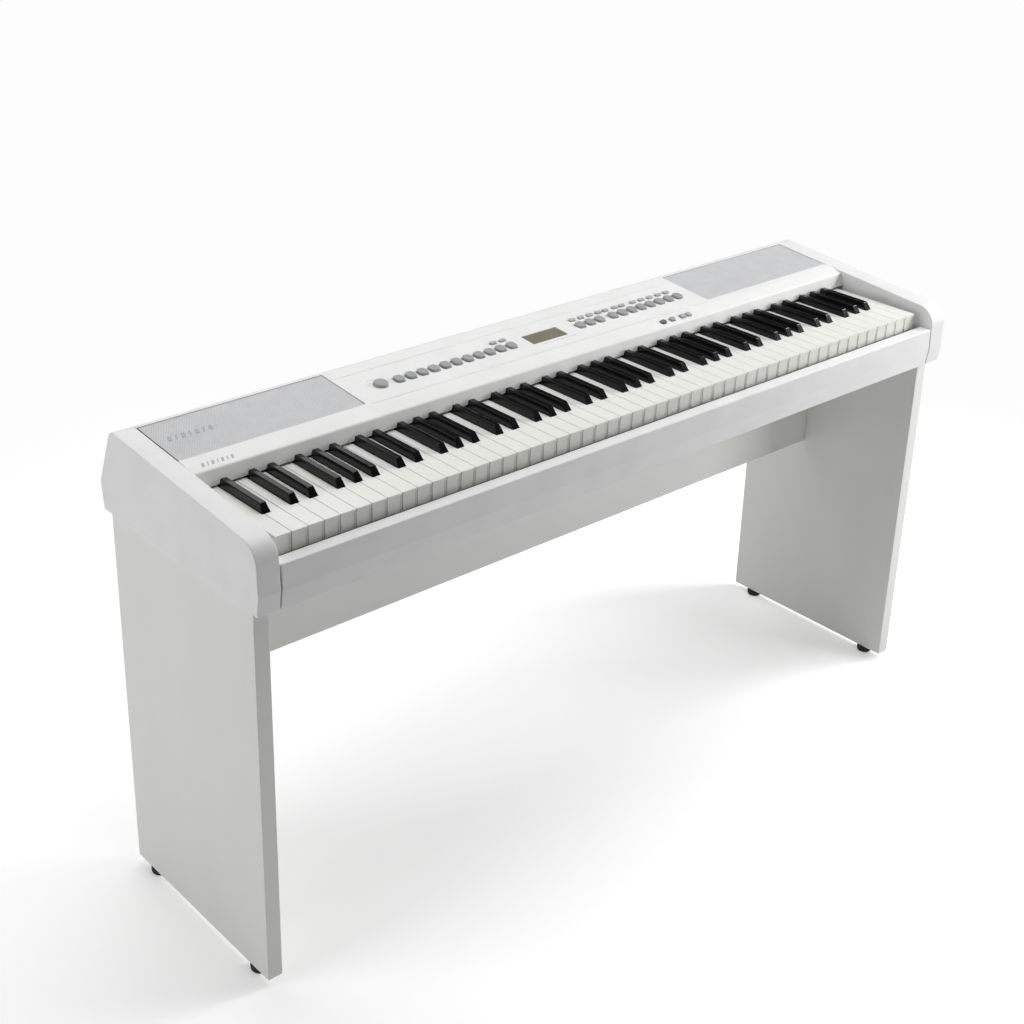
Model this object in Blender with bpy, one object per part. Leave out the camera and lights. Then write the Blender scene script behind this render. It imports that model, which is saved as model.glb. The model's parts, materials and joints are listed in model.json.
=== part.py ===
"""Digital piano on a panel stand, one object for each separate piece.

Metres, +Z up, +X towards the treble end, +Y towards the back. The origin is on the floor, in the
middle of the piano's width and depth. Depths are first stated from the front edge of the white keys
and then shifted by at(), because that edge is where the piano's other depths are measured from.
"""

import math

import bmesh
import bpy
from mathutils import Euler, Vector

# --- driving dimensions ----------------------------------------------------------------------
GAP = 0.0003                # clearance between pieces that touch
CASE_WIDTH = 1.310          # over both cheeks
CHEEK_THICKNESS = 0.032
CASE_BOTTOM = 0.564         # underside of the piano case above the floor
SKIN = 0.0035               # wall of the moulded covers

WHITE_KEYS = 52
WHITE_PITCH = 0.0235
KEY_TOP = 0.6458
KEY_HEIGHT = 0.0263
KEY_BOTTOM = KEY_TOP - KEY_HEIGHT
KEY_GAP = 0.0010            # between two white keys
NOTCH_Y = 0.0565            # where a white key narrows beside a black one
TAIL_END = 0.2285           # rear end of the white keys
COMB_BAR = 0.0115           # depth of the bar that joins a set of white keys
PIVOT_Y = 0.231
PIVOT_Z = 0.632

BLACK_WIDTH = 0.0122
BLACK_TOP_WIDTH = 0.0092
BLACK_RISE = 0.0114         # height of a black key above the white ones
BLACK_FRONT = 0.058
BLACK_FRONT_SLOPE = 0.0072
BLACK_CAP_END = 0.1512
BLACK_TAIL_END = 0.212
BLACK_FOOT = (0.190, 0.205)
BLACK_FOOT_BOTTOM = 0.606
BLACK_BAR_TOP = 0.614

SLIP_TOP = 0.6240
FASCIA_LOW = (0.1528, 0.6490)   # lower edge of the control panel's drop: depth, height
NOSE = (0.1588, 0.6692)     # where the drop meets the panel's front strip
CREST_Y = 0.1800            # where the front strip meets the sloping top
GRILLE_X = (0.3346, 0.6216)
GRILLE_CUT_X = 0.6300       # the opening runs out through the panel's end
GRILLE_Y = (0.1889, 0.2865)

LEG_THICKNESS = 0.022
LEG_OUTER_X = 0.650
LEG_Y = (-0.007, 0.323)
FOOT_HEIGHT = 0.012
FOOT_RADIUS = 0.0125
FOOT_INSET = 0.038          # from the leg's front and rear edges to a foot's centre
BOARD_Y = (0.1996, 0.2146)
BOARD_BOTTOM = 0.3495
TRAY_THICKNESS = 0.015

# --- side outline of the case: corner, fillet radius --------------------------------------------
RIDGE = (-0.0275, 0.590)
TOP_FRONT = (-0.0250, 0.6555)
TOP_REAR = (0.3036, 0.6863)
BULGE = (0.3380, 0.6044)
CASE_CORNERS = (
    ((-0.0235, CASE_BOTTOM), 0.0),
    (RIDGE, 0.0),
    (TOP_FRONT, 0.030),
    (TOP_REAR, 0.014),
    (BULGE, 0.008),
    ((0.3336, CASE_BOTTOM), 0.0),
)
TOP_SLOPE = math.atan2(TOP_REAR[1] - TOP_FRONT[1], TOP_REAR[0] - TOP_FRONT[0])
CREST_Z = TOP_FRONT[1] + (CREST_Y - TOP_FRONT[0]) * math.tan(TOP_SLOPE)
STRIP_SLOPE = math.atan2(CREST_Z - NOSE[1], CREST_Y - NOSE[0])

CHEEK_INNER_X = CASE_WIDTH / 2 - CHEEK_THICKNESS
COVER_X = CHEEK_INNER_X - GAP
SLIP_X = CHEEK_INNER_X - 0.002
LEG_INNER_X = LEG_OUTER_X - LEG_THICKNESS
TRAY_TOP = CASE_BOTTOM + TRAY_THICKNESS
STAND_TOP = CASE_BOTTOM - GAP

WHITE = ((0.86, 0.87, 0.86), 0.38, 0.0)
IVORY = ((0.88, 0.89, 0.85), 0.30, 0.0)
EBONY = ((0.012, 0.012, 0.013), 0.28, 0.0)
MESH_METAL = ((0.60, 0.61, 0.64), 0.42, 0.6)
BUTTON_GREY = ((0.48, 0.50, 0.49), 0.45, 0.0)
DISPLAY = ((0.20, 0.17, 0.14), 0.25, 0.0)
CIRCUIT = ((0.03, 0.17, 0.08), 0.50, 0.0)
BLACK_PLASTIC = ((0.02, 0.02, 0.02), 0.45, 0.0)
RUBBER = ((0.01, 0.01, 0.01), 0.80, 0.0)
FELT = ((0.30, 0.03, 0.03), 0.95, 0.0)
ZINC = ((0.62, 0.63, 0.64), 0.35, 1.0)
BOARD_WHITE = ((0.80, 0.81, 0.79), 0.45, 0.0)


# --- small tools --------------------------------------------------------------------------------
def fillet(corners, segments=6):
    """Points of a closed outline whose corners are rounded to their radii."""
    points = []
    count = len(corners)
    for index, (corner, radius) in enumerate(corners):
        here = Vector(corner)
        if radius == 0.0:
            points.append((here.x, here.y))
            continue
        before = (Vector(corners[index - 1][0]) - here).normalized()
        after = (Vector(corners[(index + 1) % count][0]) - here).normalized()
        half = before.angle(after) / 2
        centre = here + (before + after).normalized() * radius / math.sin(half)
        start = here + before * radius / math.tan(half) - centre
        turn = (math.pi - 2 * half) * (1 if before.x * after.y > before.y * after.x else -1)
        for step in range(segments + 1):
            angle = -turn * step / segments
            cos, sin = math.cos(angle), math.sin(angle)
            points.append((centre.x + start.x * cos - start.y * sin,
                           centre.y + start.x * sin + start.y * cos))
    return points


CASE_OUTLINE = fillet(CASE_CORNERS)
DEPTHS = [point[0] for point in CASE_OUTLINE]
SHIFT = -(min(DEPTHS) + max(DEPTHS)) / 2


def at(depth):
    """Y of a depth measured from the front edge of the white keys."""
    return depth + SHIFT


def panel_slope(depth):
    """Slope of the control panel: steeper on its front strip."""
    return STRIP_SLOPE if depth < CREST_Y else TOP_SLOPE


def top_z(depth):
    """Height of the control panel at a depth from the front edge of the keys."""
    return CREST_Z + (depth - CREST_Y) * math.tan(panel_slope(depth))


def wall(path, thickness):
    """Closed outline of a wall that lies to the right of an open path."""
    inner = []
    for index, point in enumerate(path):
        here = Vector(point)
        ahead = Vector(path[min(index + 1, len(path) - 1)]) - here
        behind = here - Vector(path[max(index - 1, 0)])
        directions = [step.normalized() for step in (behind, ahead) if step.length > 0]
        mean = sum(directions, Vector((0.0, 0.0))).normalized()
        inward = Vector((mean.y, -mean.x))
        inner.append(here + inward * thickness / inward.dot(Vector((directions[0].y, -directions[0].x))))
    return [tuple(point) for point in path] + [tuple(point) for point in reversed(inner)]


def rounded_rectangle(half_x, half_y, radius, segments=2):
    """Plan outline of a rectangle with rounded corners."""
    corners = ((-half_x, -half_y), (half_x, -half_y), (half_x, half_y), (-half_x, half_y))
    return fillet([(corner, radius) for corner in corners], segments)


def circle(radius, sides=16):
    """Plan outline of a regular polygon that stands for a circle."""
    return [(radius * math.cos(2 * math.pi * i / sides), radius * math.sin(2 * math.pi * i / sides))
            for i in range(sides)]


def loft(bm, loops):
    """Add the closed solid that runs through a list of loops, capped at both ends."""
    rings = [[bm.verts.new(point) for point in loop] for loop in loops]
    count = len(rings[0])
    for first, second in zip(rings, rings[1:]):
        for index in range(count):
            after = (index + 1) % count
            bm.faces.new((first[index], first[after], second[after], second[index]))
    bm.faces.new(rings[0])
    bm.faces.new(rings[-1])


def stack(bm, sections, centre=(0.0, 0.0)):
    """Loft plan outlines, each paired with its height."""
    loft(bm, [[(x + centre[0], y + centre[1], height) for x, y in outline] for outline, height in sections])


def bar(bm, outline, left, right):
    """Extrude a (depth, height) outline along X between two ends."""
    loft(bm, [[(x, at(depth), height) for depth, height in outline] for x in (left, right)])


def box(bm, x_range, depth_range, z_range):
    """Add a plain block."""
    low, high = depth_range
    bottom, top = z_range
    bar(bm, ((low, bottom), (high, bottom), (high, top), (low, top)), *x_range)


def make(name, bm, finish, origin=(0.0, 0.0, 0.0), tilt=0.0, smooth=False):
    """Turn a bmesh into a named object with its own material.

    An untilted mesh is drawn where it stands and is moved under its origin here. A tilted one is
    drawn about the origin already.
    """
    if tilt == 0.0:
        bmesh.ops.translate(bm, vec=-Vector(origin), verts=bm.verts)
    bmesh.ops.recalc_face_normals(bm, faces=bm.faces)
    bmesh.ops.triangulate(bm, faces=[face for face in bm.faces if len(face.verts) > 4])
    mesh = bpy.data.meshes.new(name)
    bm.to_mesh(mesh)
    bm.free()
    if smooth:
        mesh.shade_smooth()
        mesh.set_sharp_from_angle(angle=math.radians(35))
    piece = bpy.data.objects.new(name, mesh)
    piece.location = origin
    piece.rotation_euler = Euler((tilt, 0.0, 0.0))
    bpy.context.collection.objects.link(piece)
    colour, roughness, metallic = finish
    material = bpy.data.materials.new(name)
    material.use_nodes = True
    shader = material.node_tree.nodes["Principled BSDF"]
    shader.inputs["Base Color"].default_value = (*colour, 1.0)
    shader.inputs["Roughness"].default_value = roughness
    shader.inputs["Metallic"].default_value = metallic
    mesh.materials.append(material)
    return piece


def combine(piece, tool, operation):
    """Cut a tool out of a piece, or unite it with the piece. The tool is only a guide."""
    tool.hide_render = True
    tool.display_type = "WIRE"
    modifier = piece.modifiers.new(tool.name, "BOOLEAN")
    modifier.object = tool
    modifier.operation = operation
    modifier.solver = "EXACT"


def on_panel(x, depth):
    """Point on the panel where a control sits."""
    return (x, at(depth), top_z(depth))


# --- case ---------------------------------------------------------------------------------------
def cheeks():
    """Solid end blocks of the case."""
    for side, name in ((-1, "left_cheek"), (1, "right_cheek")):
        bm = bmesh.new()
        bar(bm, CASE_OUTLINE, side * CHEEK_INNER_X, side * CASE_WIDTH / 2)
        piece = make(name, bm, WHITE, smooth=True)
        edge = piece.modifiers.new("edge", "BEVEL")
        edge.width = 0.0015
        edge.segments = 1
        edge.limit_method = "ANGLE"
        edge.angle_limit = math.radians(60)


def key_slip():
    """Front rail below the keys, with a ridge along its face."""
    corners = (((-0.0235, CASE_BOTTOM), 0.0), (RIDGE, 0.0), ((-0.0262, SLIP_TOP), 0.002),
               ((-0.0058, SLIP_TOP), 0.002), ((-0.0058, CASE_BOTTOM), 0.0))
    bm = bmesh.new()
    bar(bm, fillet(corners, 2), -SLIP_X, SLIP_X)
    make("key_slip", bm, WHITE, smooth=True)


def bottom_tray():
    """Board under the case, with a blind hole for each thumb screw."""
    bm = bmesh.new()
    box(bm, (-COVER_X, COVER_X), (-0.0055, 0.3300), (CASE_BOTTOM, TRAY_TOP))
    piece = make("bottom_tray", bm, BOARD_WHITE)
    holes = bmesh.new()
    for side in (-1, 1):
        stack(holes, ((circle(SCREW_RADIUS + 0.0005), CASE_BOTTOM - 0.005),
                      (circle(SCREW_RADIUS + 0.0005), CASE_BOTTOM + 0.0115)),
              centre=(side * SCREW_X, at(BRACKET_DEPTH)))
    combine(piece, make("tray_holes", holes, BOARD_WHITE), "DIFFERENCE")


def upper_path():
    """Outer line of the top panel: up the drop, over the top and a little way down the back."""
    down = (Vector(BULGE) - Vector(TOP_REAR)).normalized()
    end = Vector(TOP_REAR) + down * 0.020
    corners = ((FASCIA_LOW, 0.0), (NOSE, 0.0045), ((CREST_Y, CREST_Z), 0.060),
               (TOP_REAR, 0.014), (tuple(end), 0.0))
    return fillet(corners, 4)


def top_panel():
    """Moulded cover that carries the grilles, the display and the controls."""
    bm = bmesh.new()
    bar(bm, wall(upper_path(), SKIN), -COVER_X, COVER_X)
    piece = make("top_panel", bm, WHITE, smooth=True)
    combine(piece, panel_openings(), "DIFFERENCE")


def opening(bm, outline, x, depth):
    """Prism that cuts an outline through the panel, along its normal."""
    start = len(bm.verts)
    stack(bm, ((outline, -0.015), (outline, 0.010)))
    bm.verts.ensure_lookup_table()
    drawn = bm.verts[start:]
    turn = Euler((panel_slope(depth), 0.0, 0.0)).to_matrix()
    for vert in drawn:
        vert.co = turn @ vert.co + Vector(on_panel(x, depth))


def panel_openings():
    """One guide with every opening of the top panel."""
    bm = bmesh.new()
    for side in (-1, 1):
        _, depth, _, half_y = grille_place(side)
        half_x = (GRILLE_CUT_X - GRILLE_X[0]) / 2
        opening(bm, rounded_rectangle(half_x, half_y, 0.002), side * (GRILLE_CUT_X - half_x), depth)
    opening(bm, rounded_rectangle(DISPLAY_HALF[0] + GAP, DISPLAY_HALF[1] + GAP, 0.001, 1), *DISPLAY_AT)
    opening(bm, circle(KNOB_SHAFT + 0.0005, 12), *KNOB_AT)
    for _, size, places, depth in BUTTON_ROWS:
        hole = rounded_rectangle(size[0] + 0.0004, size[1] + 0.0004, *size[2:])
        for x in places:
            opening(bm, hole, x, depth)
    return make("panel_openings", bm, WHITE)


def rear_cover():
    """Sloping back of the case, with holes for the two sockets."""
    down = (Vector(BULGE) - Vector(TOP_REAR)).normalized()
    start = Vector(TOP_REAR) + down * 0.0205
    corners = ((tuple(start), 0.0), (BULGE, 0.008), ((0.3336, CASE_BOTTOM), 0.0))
    bm = bmesh.new()
    bar(bm, wall(fillet(corners, 3), 0.003), -COVER_X, COVER_X)
    piece = make("rear_cover", bm, WHITE, smooth=True)
    holes = bmesh.new()
    for _, x, _ in SOCKETS:
        ring = circle(SOCKET_RADIUS + GAP, 12)
        loft(holes, [[(x + u, at(depth), SOCKET_Z + v) for u, v in ring] for depth in (0.325, 0.345)])
    combine(piece, make("socket_holes", holes, WHITE), "DIFFERENCE")


# --- sockets --------------------------------------------------------------------------------------
SOCKET_Z = 0.5860
SOCKET_RADIUS = 0.0068
SOCKETS = (("power_socket", -0.470, 0.0033), ("pedal_socket", -0.430, 0.0036))


def sockets():
    """Round sockets with blind bores, standing through the rear cover."""
    for name, x, bore in SOCKETS:
        rings = ((bore, 0.3240), (bore, 0.3368), (SOCKET_RADIUS, 0.3368), (SOCKET_RADIUS, 0.3190))
        bm = bmesh.new()
        loft(bm, [[(x + u, at(depth), SOCKET_Z + v) for u, v in circle(radius, 12)]
                  for radius, depth in rings])
        make(name, bm, BLACK_PLASTIC, smooth=True)


# --- grilles and speakers -------------------------------------------------------------------------
def grille_place(side):
    """Centre and half sizes of a grille's opening."""
    length = GRILLE_X[1] - GRILLE_X[0]
    depth = (GRILLE_Y[0] + GRILLE_Y[1]) / 2
    half_y = (GRILLE_Y[1] - GRILLE_Y[0]) / 2 / math.cos(TOP_SLOPE)
    return side * (GRILLE_X[0] + length / 2), depth, length / 2, half_y


def grilles():
    """Pressed metal pans, clamped under the panel by their rims."""
    sheet = 0.0012
    rim = 0.0030
    outer_rim = 0.0006      # the rim is narrow beside the cheek
    for side, name in ((-1, "left_grille"), (1, "right_grille")):
        x, depth, half_x, half_y = grille_place(side)

        def outline(grow):
            inner = side * (GAP - half_x - grow)
            outer = side * (half_x + min(grow, outer_rim))
            left, right = min(inner, outer), max(inner, outer)
            reach = half_y - GAP + grow
            corners = ((left, -reach), (right, -reach), (right, reach), (left, reach))
            return fillet([(corner, 0.002) for corner in corners], 2)

        bm = bmesh.new()
        stack(bm, ((outline(0), 0.0), (outline(0), -SKIN - GAP), (outline(rim), -SKIN - GAP),
                   (outline(rim), -SKIN - GAP - sheet), (outline(-sheet), -SKIN - GAP - sheet),
                   (outline(-sheet), -sheet)))
        make(name, bm, MESH_METAL, origin=on_panel(x, depth), tilt=TOP_SLOPE)


def speakers():
    """Shallow drivers that hang under the grilles."""
    rings = ((0.012, -0.0160), (0.038, -0.0062), (0.044, -0.0062), (0.044, -0.0080),
             (0.038, -0.0080), (0.026, -0.0165), (0.020, -0.0165), (0.020, -0.0255))
    for side, name in ((-1, "left_speaker"), (1, "right_speaker")):
        x, depth, _, _ = grille_place(side)
        bm = bmesh.new()
        stack(bm, [(circle(radius, 20), height) for radius, height in rings])
        make(name, bm, BLACK_PLASTIC, origin=on_panel(x, depth), tilt=TOP_SLOPE, smooth=True)


# --- controls -------------------------------------------------------------------------------------
KNOB_AT = (-0.2836, 0.2260)
KNOB_RADIUS = 0.0115
KNOB_SHAFT = 0.0030
DISPLAY_AT = (0.0202, 0.2272)
DISPLAY_HALF = (0.0339, 0.0145)
BUTTON_TRAVEL = 0.0012
# Half width, half depth, corner radius and corner segments of a cap.
LARGE_BUTTON = (0.0068, 0.0080, 0.0048, 2)
SMALL_BUTTON = (0.0055, 0.0030, 0.0018, 1)
CORNER_BUTTON = (0.0048, 0.0040, 0.0024, 1)
CAP_EDGE = 0.0010           # rounding round the top of a cap


def spread(first, pitch, count):
    """Evenly pitched places."""
    return [first + pitch * index for index in range(count)]


BUTTON_ROWS = (
    ("left_buttons", LARGE_BUTTON, spread(-0.2528, 0.02055, 11), 0.2250),
    ("left_small_buttons", SMALL_BUTTON, spread(-0.0646, 0.0178, 2), 0.2455),
    ("right_buttons", LARGE_BUTTON, spread(0.0900, 0.0200, 3) + spread(0.1580, 0.0202, 8), 0.2250),
    ("right_small_buttons", SMALL_BUTTON,
     spread(0.0918, 0.0182, 3) + spread(0.1458, 0.0150, 2) + spread(0.1815, 0.0150, 2)
     + spread(0.2205, 0.0184, 5), 0.2450),
    ("corner_buttons", CORNER_BUTTON,
     spread(0.2125, 0.0192, 2) + spread(0.2537, 0.0130, 2), 0.1708),
)


def button_rows():
    """Rows of caps, each moulded on one strip under the panel."""
    strip_top = -SKIN - GAP
    strip_bottom = strip_top - 0.0030
    for name, size, places, depth in BUTTON_ROWS:
        middle = (places[0] + places[-1]) / 2
        half_x = (places[-1] - places[0]) / 2 + size[0]
        strip = bmesh.new()
        stack(strip, ((rounded_rectangle(half_x, 0.0024, 0.001, 1), strip_bottom),
                      (rounded_rectangle(half_x, 0.0024, 0.001, 1), strip_top)))
        slope = panel_slope(depth)
        piece = make(name, strip, BUTTON_GREY, origin=on_panel(middle, depth), tilt=slope)
        caps = bmesh.new()
        for x in places:
            full = rounded_rectangle(*size)
            crown = rounded_rectangle(*(length - CAP_EDGE for length in size[:3]), size[3])
            stack(caps, ((full, strip_bottom - 0.0004), (full, 0.0022), (crown, 0.0030)),
                  centre=(x - middle, 0.0))
        tool = make(name + "_caps", caps, BUTTON_GREY, origin=on_panel(middle, depth), tilt=slope)
        combine(piece, tool, "UNION")


def volume_knob():
    """Low round knob whose shaft passes through the panel."""
    rings = ((0.0088, 0.0052), (0.0104, 0.0045), (KNOB_RADIUS, 0.0030), (KNOB_RADIUS, 0.0005),
             (KNOB_SHAFT, 0.0005), (KNOB_SHAFT, -0.0078))
    bm = bmesh.new()
    stack(bm, [(circle(radius, 24), height) for radius, height in rings])
    make("volume_knob", bm, BUTTON_GREY, origin=on_panel(*KNOB_AT), tilt=TOP_SLOPE, smooth=True)


def display():
    """Window set just below the panel's surface, and the module behind it."""
    half_x, half_y = DISPLAY_HALF
    window = bmesh.new()
    stack(window, ((rounded_rectangle(half_x, half_y, 0.001, 1), -0.0012),
                   (rounded_rectangle(half_x, half_y, 0.001, 1), -SKIN)))
    make("display_window", window, DISPLAY, origin=on_panel(*DISPLAY_AT), tilt=TOP_SLOPE)
    module = bmesh.new()
    stack(module, ((rounded_rectangle(half_x + 0.004, half_y + 0.002, 0.001, 1), -SKIN - GAP),
                   (rounded_rectangle(half_x + 0.004, half_y + 0.002, 0.001, 1), -0.0080)))
    make("display_module", module, CIRCUIT, origin=on_panel(*DISPLAY_AT), tilt=TOP_SLOPE)


# --- inside ---------------------------------------------------------------------------------------
def key_frame():
    """Pressed chassis: a base plate, a raised front rail and the upright that the keys pivot on."""
    base = TRAY_TOP + GAP
    plate = base + 0.003
    outline = ((0.008, base), (0.252, base), (0.252, plate), (0.2365, plate), (0.2365, 0.640),
               (0.2330, 0.640), (0.2330, plate), (0.028, plate), (0.028, 0.604), (0.008, 0.604))
    bm = bmesh.new()
    bar(bm, outline, -0.612, 0.612)
    make("key_frame", bm, ZINC)


def key_felt():
    """Strip that stops the fronts of the keys."""
    bm = bmesh.new()
    box(bm, (-0.611, 0.611), (0.009, 0.027), (0.604 + GAP, 0.6090))
    make("key_felt", bm, FELT)


def contact_board():
    """Board with the row of key contacts, on two runs of legs."""
    legs = TRAY_TOP + 0.003 + 2 * GAP
    outline = ((0.118, legs), (0.121, legs), (0.121, 0.597), (0.144, 0.597), (0.144, legs),
               (0.147, legs), (0.147, 0.597), (0.150, 0.597), (0.150, 0.5986), (0.138, 0.5986),
               (0.136, 0.6125), (0.128, 0.6125), (0.126, 0.5986), (0.115, 0.5986), (0.115, 0.597),
               (0.118, 0.597))
    bm = bmesh.new()
    bar(bm, outline, -0.605, 0.605)
    make("contact_board", bm, CIRCUIT)


def main_board():
    """Sound board on four posts, with its larger components."""
    low = TRAY_TOP + GAP
    plate = (0.5850, 0.5866)
    bm = bmesh.new()
    box(bm, (-0.150, 0.150), (0.258, 0.318), plate)
    piece = make("main_board", bm, CIRCUIT)
    blocks = bmesh.new()
    for x in (-0.143, 0.143):
        for depth in (0.264, 0.312):
            box(blocks, (x - 0.003, x + 0.003), (depth - 0.003, depth + 0.003), (low, plate[1] - 0.0004))
    for x, size, height in ((-0.085, 0.014, 0.003), (-0.015, 0.018, 0.0025), (0.070, 0.011, 0.012)):
        box(blocks, (x - size, x + size), (0.288 - size, 0.288 + size),
            (plate[0] + 0.0004, plate[1] + height))
    combine(piece, make("main_board_blocks", blocks, CIRCUIT), "UNION")


def panel_board():
    """Switch board under the controls."""
    bm = bmesh.new()
    stack(bm, ((rounded_rectangle(0.310, 0.034, 0.002, 1), -0.0104),
               (rounded_rectangle(0.310, 0.034, 0.002, 1), -0.0088)))
    make("panel_board", bm, CIRCUIT, origin=on_panel(0.0, 0.2285), tilt=TOP_SLOPE)


# --- keys -----------------------------------------------------------------------------------------
LOWEST_X = -WHITE_KEYS * WHITE_PITCH / 2
NATURALS = "CDEFGAB"
FIRST_STEP = NATURALS.index("A")    # the lowest key is an A
GROUPS = (("C", 3), ("F", 4))       # white keys in the two groups of an octave


def white_number(octave, letter):
    """Index of a white key, counted from the lowest key of the piano."""
    return 7 * octave + NATURALS.index(letter) - FIRST_STEP


def key_tail(number):
    """Left and right sides of a white key's narrow rear part."""
    step = (number + FIRST_STEP) % 7
    start, whites = (0, 3) if step < 3 else (3, 4)
    share = whites * WHITE_PITCH / (2 * whites - 1)
    group_x = LOWEST_X + (number - (step - start)) * WHITE_PITCH
    left = group_x + 2 * (step - start) * share
    right = left + share
    front_left = LOWEST_X + number * WHITE_PITCH + KEY_GAP / 2
    front_right = front_left + WHITE_PITCH - KEY_GAP
    if step == start or number == 0:
        left = front_left
    if step == start + whites - 1 or number == WHITE_KEYS - 1:
        right = front_right
    return left, right


def white_outline(number, rear):
    """Plan path round one white key, from the left of its tail to the right of it."""
    front_left = LOWEST_X + number * WHITE_PITCH + KEY_GAP / 2
    front_right = front_left + WHITE_PITCH - KEY_GAP
    left, right = key_tail(number)
    path = [(left, rear)]
    if left > front_left:
        path += [(left, NOTCH_Y), (front_left, NOTCH_Y)]
    path += [(front_left, 0.0), (front_right, 0.0)]
    if right < front_right:
        path += [(front_right, NOTCH_Y), (right, NOTCH_Y)]
    path.append((right, rear))
    return path


def pivot(x):
    """Point on the keys' common axis."""
    return (x, at(PIVOT_Y), PIVOT_Z)


def white_set(name, numbers):
    """White keys moulded on one bar, or a single white key."""
    rear = TAIL_END - COMB_BAR if len(numbers) > 1 else TAIL_END
    path = [point for number in numbers for point in white_outline(number, rear)]
    if len(numbers) > 1:
        path += [(path[-1][0], TAIL_END), (path[0][0], TAIL_END)]
    bm = bmesh.new()
    loft(bm, [[(x, at(depth), z) for x, depth in path] for z in (KEY_BOTTOM, KEY_TOP)])
    middle = LOWEST_X + (numbers[0] + numbers[-1] + 1) / 2 * WHITE_PITCH
    make(name, bm, IVORY, origin=pivot(middle))


def black_x(number):
    """Middle of the black key to the right of a white key."""
    return (key_tail(number)[1] + key_tail(number + 1)[0]) / 2


def black_key(bm, x):
    """Tapered cap with a sloping front, its lower tail and the foot below the tail."""
    half = BLACK_WIDTH / 2
    top_half = BLACK_TOP_WIDTH / 2
    top = KEY_TOP + BLACK_RISE
    tail_top = KEY_TOP + 0.0004
    bottom = KEY_BOTTOM
    foot = BLACK_FOOT_BOTTOM
    crown = ((BLACK_FRONT + BLACK_FRONT_SLOPE, top), (BLACK_CAP_END, top))
    side = ((BLACK_FRONT, bottom), (BLACK_FRONT, KEY_TOP), *crown, (BLACK_CAP_END, tail_top),
            (BLACK_TAIL_END, tail_top), (BLACK_TAIL_END, bottom), (BLACK_FOOT[1], bottom),
            (BLACK_FOOT[1], foot), (BLACK_FOOT[0], foot), (BLACK_FOOT[0], bottom))
    rings = []
    for direction in (-1, 1):
        ring = []
        for point in side:
            reach = top_half if point in crown else half
            ring.append((x + direction * reach, at(point[0]), point[1]))
        rings.append(ring)
    left, right = ([bm.verts.new(point) for point in ring] for ring in rings)
    count = len(side)
    for index in range(count):
        after = (index + 1) % count
        bm.faces.new((left[index], left[after], right[after], right[index]))
    flat = (0, 1, 4, 5, 6, 7, 8, 9, 10)
    sloping = (1, 2, 3, 4)
    for ring in (left, right):
        bm.faces.new([ring[index] for index in flat])
        bm.faces.new([ring[index] for index in sloping])


def black_set(name, numbers):
    """Black keys on one low bar that passes under the white tails, or a single black key."""
    places = [black_x(number) for number in numbers]
    middle = (places[0] + places[-1]) / 2
    caps = bmesh.new()
    for x in places:
        black_key(caps, x)
    if len(places) == 1:
        make(name, caps, EBONY, origin=pivot(middle))
        return
    bar_mesh = bmesh.new()
    inset = 0.0005
    box(bar_mesh, (places[0] - BLACK_WIDTH / 2 + inset, places[-1] + BLACK_WIDTH / 2 - inset),
        (BLACK_FOOT[0] + inset, BLACK_FOOT[1] - inset), (BLACK_FOOT_BOTTOM + inset, BLACK_BAR_TOP))
    piece = make(name, bar_mesh, EBONY, origin=pivot(middle))
    combine(piece, make(name + "_caps", caps, EBONY, origin=pivot(middle)), "UNION")


def keyboard():
    """Eighty-eight keys: one octave of separate keys, and sets for the rest."""
    spans = (("octave_1", 0, white_number(1, "B")), ("octave_2", white_number(2, "C"), white_number(2, "B")),
             ("octave_3", white_number(3, "C"), white_number(3, "B")),
             ("octave_5", white_number(5, "C"), white_number(5, "B")),
             ("octave_6", white_number(6, "C"), white_number(6, "B")),
             ("octave_7", white_number(7, "C"), white_number(8, "C")))
    sharps = [step for step, letter in enumerate(NATURALS) if letter not in "EB"]
    for label, first, last in spans:
        numbers = list(range(first, last + 1))
        white_set("white_keys_" + label, numbers)
        raised = [number for number in numbers if (number + FIRST_STEP) % 7 in sharps]
        black_set("black_keys_" + label, [number for number in raised if number < WHITE_KEYS - 1])
    for letter in NATURALS:
        number = white_number(4, letter)
        white_set(f"white_key_{letter.lower()}4", [number])
        if letter not in "EB":
            black_set(f"black_key_{letter.lower()}_sharp4", [number])


# --- stand ----------------------------------------------------------------------------------------
BRACKET_DEPTH = 0.100
BRACKET_LENGTH = 0.060
BRACKET_SIDE = 0.030
BRACKET_SHEET = 0.0025
SCREW_RADIUS = 0.0030
SCREW_X = LEG_INNER_X - 0.017
SCREW_HEAD = 0.0090


def side_panels():
    """Boards that carry the case at each end."""
    bottom = FOOT_HEIGHT
    for side, name in ((-1, "left_side_panel"), (1, "right_side_panel")):
        bm = bmesh.new()
        box(bm, (side * LEG_INNER_X, side * LEG_OUTER_X), LEG_Y, (bottom, STAND_TOP))
        make(name, bm, BOARD_WHITE)


def modesty_board():
    """Board between the side panels that stops the stand from racking."""
    reach = LEG_INNER_X - GAP
    bm = bmesh.new()
    box(bm, (-reach, reach), BOARD_Y, (BOARD_BOTTOM, STAND_TOP))
    make("modesty_board", bm, BOARD_WHITE)


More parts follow.
